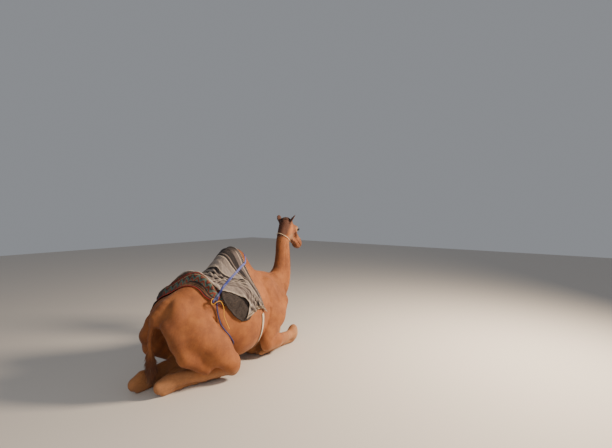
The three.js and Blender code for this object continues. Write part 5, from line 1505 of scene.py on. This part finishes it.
tree.links.new(hairs.outputs[0], shader.inputs["Normal"])
strand = add_node(tree, "MapRange", [("Value", height.outputs[0])], in_From_Min=0.35, in_From_Max=0.65, in_To_Min=0.8,
                  in_To_Max=1.14)
shaded = add_node(tree, "VectorMath", [(0, colour), ("Scale", strand.outputs[0])], operation="SCALE")
tree.links.new(shaded.outputs[0], shader.inputs["Base Color"])
skin.data.materials[0] = hair_skin

skin_points = places(skin.data) - TO_FRAME
skin_normals = np.empty(len(skin_points) * 3)
skin.data.vertices.foreach_get("normal", skin_normals)
skin_normals = skin_normals.reshape(-1, 3)
marks = markings_and_shade(skin_points)
skin.data.attributes.new("markings_and_shade", "FLOAT_COLOR", "POINT").data.foreach_set(
    "color", np.concatenate([marks, np.ones((len(marks), 1))], 1).ravel())
_, ways = lie_of_coat(skin_points, skin_normals)
skin.data.attributes.new("lie", "FLOAT_COLOR", "POINT").data.foreach_set("color", ways.ravel())

# Unwrap of a coarse skin, so that every tuft has a place of its own on it
coarse_grid = [np.arange(-1.04, 1.38, 0.03), np.arange(-0.48, 0.48, 0.03), np.arange(-0.04, 1.62, 0.03)]
coarse_points, coarse_faces = surface(volume(coarse_grid), coarse_grid)
coarse = bpy.data.meshes.new("unwrap")
coarse.from_pydata(coarse_points.tolist(), [], coarse_faces.tolist())
unwrap = bpy.data.objects.new("unwrap", coarse)
bpy.context.collection.objects.link(unwrap)
bpy.context.view_layer.objects.active = unwrap
bpy.ops.object.mode_set(mode="EDIT")
bpy.ops.mesh.select_all(action="SELECT")
bpy.ops.uv.smart_project(angle_limit=math.radians(66), island_margin=0.003)
bpy.ops.object.mode_set(mode="OBJECT")
unwrap_uv = np.empty(len(coarse.loops) * 2)
coarse.uv_layers[0].data.foreach_get("uv", unwrap_uv)
unwrap_uv = unwrap_uv.reshape(-1, 4, 2)
unwrap_corners = coarse_points[coarse_faces]
unwrap_tree = BVHTree.FromPolygons(coarse_points.tolist(), coarse_faces.tolist())
bpy.data.objects.remove(unwrap)


def place_on_unwrap(p):
    """Each point's place on the unwrap: its nearest coarse face's corners, weighed by nearness."""
    nearest = np.array([unwrap_tree.find_nearest(Vector(q))[2] for q in p])
    gap = np.linalg.norm(unwrap_corners[nearest] - p[:, None], axis=2)
    weight = 1 / np.maximum(gap, 1e-4) ** 2
    return (unwrap_uv[nearest] * (weight / weight.sum(1, keepdims=True))[..., None]).sum(1)


tack = [kilim, blanket, pad, saddle_roll, strap, girth, flank_rope, halter]
tack_points, tack_faces = [], []
for piece in tack:
    tack_faces += [tuple(v + len(tack_points) for v in f.vertices) for f in piece.data.polygons]
    tack_points += (places(piece.data) - TO_FRAME).tolist()
tack_tree = BVHTree.FromPolygons(tack_points, tack_faces)


TUFT_ROOM = 0.014       # least depth of open air over a root
ROOT_ABOVE = 0.007      # least height of a root above the floor
ROOT_DEPTH = 0.0012     # how deep a tuft starts in the skin
TACK_GAP = 0.05         # no tuft grows this close under a cloth or a cord
EVEN_STEPS = (0.7548776662, 0.569840291)    # steps that spread places evenly over a square


def roots(density, chosen):
    """Stratified places on the skin's faces: points, normals. density and chosen take the faces' middles."""
    corner = np.empty(len(skin.data.loops), int)
    skin.data.loops.foreach_get("vertex_index", corner)
    starts = np.array([f.loop_start for f in skin.data.polygons])
    sizes = np.array([f.loop_total for f in skin.data.polygons])
    quads = np.stack([corner[starts], corner[starts + 1], corner[starts + 2],
                      corner[np.where(sizes > 3, starts + 3, starts + 2)]], 1)
    q = skin_points[quads]
    middle = q.mean(1)
    area = np.linalg.norm(np.cross(q[:, 2] - q[:, 0], q[:, 3] - q[:, 1]), axis=1) / 2
    wanted = area * density(middle) * chosen(middle)
    total = np.cumsum(wanted)
    count = np.diff(np.floor(np.concatenate([[0], total]) + 0.5)).astype(int)
    face = np.repeat(np.arange(len(count)), count)
    k = np.arange(len(face))
    u, v = (((k * step) % 1)[:, None] for step in EVEN_STEPS)
    weights = np.stack([(1 - u) * (1 - v), u * (1 - v), u * v, (1 - u) * v], 1)
    p = (q[face] * weights).sum(1)
    n = unit_rows((skin_normals[quads[face]] * weights).sum(1))
    clear = (outline(p + n * TUFT_ROOM) > 0) & (p[:, 2] > ROOT_ABOVE)
    p, n = p[clear], n[clear]
    open_air = np.array([tack_tree.ray_cast(Vector(a), Vector(b), TACK_GAP)[0] is None for a, b in zip(p, n)])
    return p[open_air], n[open_air]


PIECE_TRIANGLES = 195000        # most triangles in one piece of coat


def tufts(name, p, n, length, width, lift, bend, rings, finish, seed, lie=None, jitter=0.14):
    """Blades of three-sided section from roots p, lying along the coat; length, width and lift are per tuft."""
    luck = np.random.default_rng(seed)
    lying = lie_of_coat(p, n)[0] if lie is None else lie
    side = np.cross(n, lying)
    lying = unit_rows(lying + side * luck.normal(0, jitter, (len(p), 1)))
    side = np.cross(n, lying)
    marks = np.concatenate([np.clip(markings_and_shade(p) + luck.normal(0, 0.05, (len(p), 1)), 0, 1),
                            luck.random((len(p), 1))], 1)
    uv = place_on_unwrap(p)
    length = length * luck.uniform(0.75, 1.25, len(p))
    lift = lift * luck.uniform(0.6, 1.15, len(p))
    width = width * luck.uniform(0.8, 1.2, len(p))
    points, normals, place = [], [], []
    for i in range(rings):
        t = i / rings
        middle = p - n * ROOT_DEPTH + lying * (length * t)[:, None] + n * (lift * (1 - (1 - t) ** 2))[:, None]
        middle = middle - np.array((0, 0, 1)) * (bend * t * t)[:, None]
        w = (width * (1 - 0.55 * t * t) / 2)[:, None]
        for across, out in ((-1, 0), (1, 0), (0, 0.62)):
            points.append(middle + side * w * across + n * w * out)
            normals.append(unit_rows(n + side * across * 0.45))
            place.append((across * 0.5, t))
    tip = p - n * ROOT_DEPTH + lying * length[:, None] + n * lift[:, None]
    points.append(tip - np.array((0, 0, 1)) * bend[:, None])
    normals.append(n)
    place.append((0, 1))
    points = np.stack(points, 1)
    points[..., 2] = np.maximum(points[..., 2], 0.001)
    each = points.shape[1]
    faces = [(2, 1, 0)]
    for i in range(rings - 1):
        faces += [(3 * i + a, 3 * i + b, 3 * i + 3 + b, 3 * i + 3 + a) for a, b in ((0, 1), (1, 2), (2, 0))]
    faces += [(3 * rings - 3 + a, 3 * rings - 3 + b, each - 1) for a, b in ((0, 1), (1, 2), (2, 0))]
    underside = np.concatenate([np.full(len(f), all(v % 3 < 2 or v == each - 1 for v in f)) for f in faces])
    triangles = sum(len(f) - 2 for f in faces)
    share = int(PIECE_TRIANGLES / triangles)
    for part, start in enumerate(range(0, len(p), share)):
        some = slice(start, start + share)
        count = len(p[some])
        mesh = bpy.data.meshes.new(f"{name}_{part + 1}")
        loops = np.concatenate([(np.array(f)[None] + each * np.arange(count)[:, None])[:, :, None].reshape(count, -1)
                                for f in faces], 1).ravel()
        sizes = np.tile([len(f) for f in faces], count)
        mesh.vertices.add(count * each)
        mesh.vertices.foreach_set("co", (points[some] + TO_FRAME).ravel())
        mesh.loops.add(len(loops))
        mesh.loops.foreach_set("vertex_index", loops)
        mesh.polygons.add(len(sizes))
        mesh.polygons.foreach_set("loop_start", np.concatenate([[0], np.cumsum(sizes)[:-1]]))
        mesh.polygons.foreach_set("loop_total", sizes)
        spots = uv[some][:, None] + (np.array(place) - (0, 0.5)) * 0.003
        mesh.uv_layers.new(name="OFBake").data.foreach_set("uv", spots.reshape(-1, 2)[loops].ravel())
        mesh.update(calc_edges=True)
        mesh.attributes.new("markings_and_shade", "FLOAT_COLOR", "POINT").data.foreach_set(
            "color", np.repeat(marks[some], each, axis=0).ravel())
        mesh.shade_smooth()
        turned = np.stack(normals, 1)[some][:, np.concatenate([np.array(f) for f in faces])]
        turned[:, underside] = (-0.8 * n[some] + 0.2 * lying[some])[:, None]
        mesh.normals_split_custom_set(turned.reshape(-1, 3).tolist())
        mesh.materials.append(finish)
        made = bpy.data.objects.new(f"{name}_{part + 1}", mesh)
        bpy.context.collection.objects.link(made)
        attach(made, "root")


hair, tree, shader, colour, object_at = coat_finish("tuft_hair")
luck = add_node(tree, "Attribute", attribute_name="markings_and_shade")
strand = add_node(tree, "MapRange", [("Value", luck.outputs["Alpha"])], in_To_Min=0.86, in_To_Max=1.13)
shaded = add_node(tree, "VectorMath", [(0, colour), ("Scale", strand.outputs[0])], operation="SCALE")
tree.links.new(shaded.outputs[0], shader.inputs["Base Color"])

THIN = 1.0
BODY_TUFTS, LONGER_TUFTS, FLAT_TUFTS, SHORT_TUFTS = 11000, 19000, 21000, 52000      # to a square metre


def on_ears(p):
    _, b, c = to_head(*p.T)
    return ease(np.abs(b), 0.078, 0.09) * ease(c, 0.03, 0.05) * ease(p[:, 2], 1.3, 1.35)


def face_and_feet(p):
    """Where the hair is shortest: the face beyond the brow, and the feet and lower limbs."""
    a, b, c = to_head(*p.T)
    face = ease(a, 0.05, 0.12) * ease(p[:, 2], 1.02, 1.06) * ease(c, -0.15, -0.11)
    return np.maximum(np.maximum(face, on_ears(p)), 1 - ease(p[:, 2], 0.07, 0.13))


def towards_face(p):
    """0 on the neck, rising to 1 where the face's short hair begins."""
    a, b, c = to_head(*p.T)
    return ease(a, -0.12, 0.07) * ease(c, -0.2, -0.1) * ease(p[:, 2], 1.1, 1.25)


def hairless(p):
    return ease(markings_and_shade(p)[:, 2], 0.25, 0.5)


def short_here(m):
    return face_and_feet(m) >= 0.5


def furrier(p):
    """1 where the coat is longest: neck, shoulders and the top of the hump."""
    return np.maximum(ease(p[:, 0], 0.55, 0.7) * ease(p[:, 2], 0.5, 0.7),
                      ease(p[:, 2], 0.95, 1.05) * 0.8)


p, n = roots(lambda m: THIN * (BODY_TUFTS + LONGER_TUFTS * furrier(m)) * (1 - hairless(m)), lambda m: ~short_here(m))
shorter = 1 - 0.55 * towards_face(p)
fur = furrier(p)
tufts("coat_body", p, n, (0.0165 + 0.004 * fur) * shorter, 0.0036 * shorter**0.4 * (1 - 0.25 * fur),
      (0.0016 + 0.0012 * fur) * shorter, 0.0 * p[:, 0], 2, hair, 11)
p, n = roots(lambda m: THIN * FLAT_TUFTS * (1 - hairless(m)), lambda m: ~short_here(m))
shorter = 1 - 0.5 * towards_face(p)
tufts("coat_flat", p, n, 0.0155 * shorter, 0.0046 * shorter**0.4, 0.0013 * shorter, 0.0 * p[:, 0], 1, hair, 13)
p, n = roots(lambda m: THIN * SHORT_TUFTS * (1 - hairless(m)), short_here)
shorter = 1 - 0.4 * on_ears(p)
tufts("coat_short", p, n, 0.008 * shorter, 0.003 * shorter, 0.002 * shorter, 0.0 * p[:, 0], 1, hair, 12, jitter=0.1)

# Longer locks: the dark crown, the nape, a thin beard down the throat, and the switch of the tail
def crown(m):
    a, b, c = to_head(*m.T)
    return (c > 0.045) & (a > -0.085) & (a < 0.095) & (np.abs(b) < 0.075) & (m[:, 2] > 1.3)


def neck_line(m, front):
    """Front or rear strip of the neck, facing along x."""
    middle = curve(m[:, 2], (0.7, 0.88, 1.05, 1.2, 1.33), (0.84, 0.905, 0.925, 0.926, 0.942))
    ahead = (m[:, 0] - middle) * (1 if front else -1)
    in_line = (ahead > 0.055) & (ahead < 0.13) & (np.abs(m[:, 1]) < 0.035)
    return in_line & (m[:, 2] > 0.8) & (m[:, 2] < 1.3) & (m[:, 0] > 0.72)


def switch(m):
    x, y, z = m.T
    return (x < -0.825) & (np.abs(y + 0.01) < 0.08) & (z < 0.4) & (z > 0.15) & (tail(x, y, z) < 0.01)


for name, chosen, density, length, width, lift, bend in (
        ("crown_locks", crown, 52000, 0.024, 0.0024, 0.0068, 0.002),
        ("nape_locks", lambda m: neck_line(m, False), 19000, 0.024, 0.0032, 0.0055, 0.0),
        ("throat_locks", lambda m: neck_line(m, True), 26000, 0.036, 0.003, 0.007, 0.003),
        ("tail_locks", switch, 45000, 0.085, 0.0044, 0.014, 0.01)):
    p, n = roots(lambda m: np.full(len(m), THIN * density), chosen)
    full = 1 - 0.6 * ease(to_head(*p.T)[0], -0.03, 0.09) * ease(p[:, 2], 1.3, 1.4)
    tufts(name, p, n, length * full, width * full, lift * full, bend * full, 4, hair, 21, jitter=0.2)

# Lashes: two rows of long dark lashes on the upper lid and a few short ones below.
lash_hair, tree, shader = material("lash_hair", "1e130d", 0.5)   # stiff dark hair with a little shine
shader.inputs["Specular IOR Level"].default_value = 0.3
rows = []
for sign in (1, -1):
    flip = np.array((1, sign, 1))
    for upper, offset, count in ((1, 0.0008, 46), (1, 0.0026, 40), (-1, 0.0006, 26)):
        radius, rise = (ABOVE_R, OPEN_ABOVE) if upper > 0 else (BELOW_R, OPEN_BELOW)
        across = np.linspace(-0.93, 0.93, count) * OPEN_HALF * (1 if upper > 0 else 0.72)
        up = upper * (np.sqrt((radius + offset) ** 2 - across**2) - radius + rise)
        out = np.sqrt(np.maximum((EYE_RADIUS + 0.0028) ** 2 - across**2 - up**2, 1e-8))
        q = EYE_MIDDLE + across[:, None] * EYE_FORWARD + up[:, None] * EYE_UP + out[:, None] * GAZE
        way = unit_rows(GAZE * 0.95 + EYE_UP * (0.1 if upper > 0 else -0.55)
                        + np.outer(across / OPEN_HALF, EYE_FORWARD) * 0.55)
        normal = unit_rows(EYE_UP * upper - (way @ EYE_UP * upper)[:, None] * way)
        world = lambda v: (v * flip) @ np.stack(HEAD_AXES)
        rows.append((from_head(q * flip), world(normal), world(way), np.full(count, 0.024 if upper > 0 else 0.011)))
p, n, way, length = (np.concatenate([row[i] for row in rows]) for i in range(4))
full = np.ones(len(p))
tufts("lashes", p, n, length, 0.0011 * full, -0.2 * length, 0 * full, 4, lash_hair, 31, lie=way, jitter=0.06)
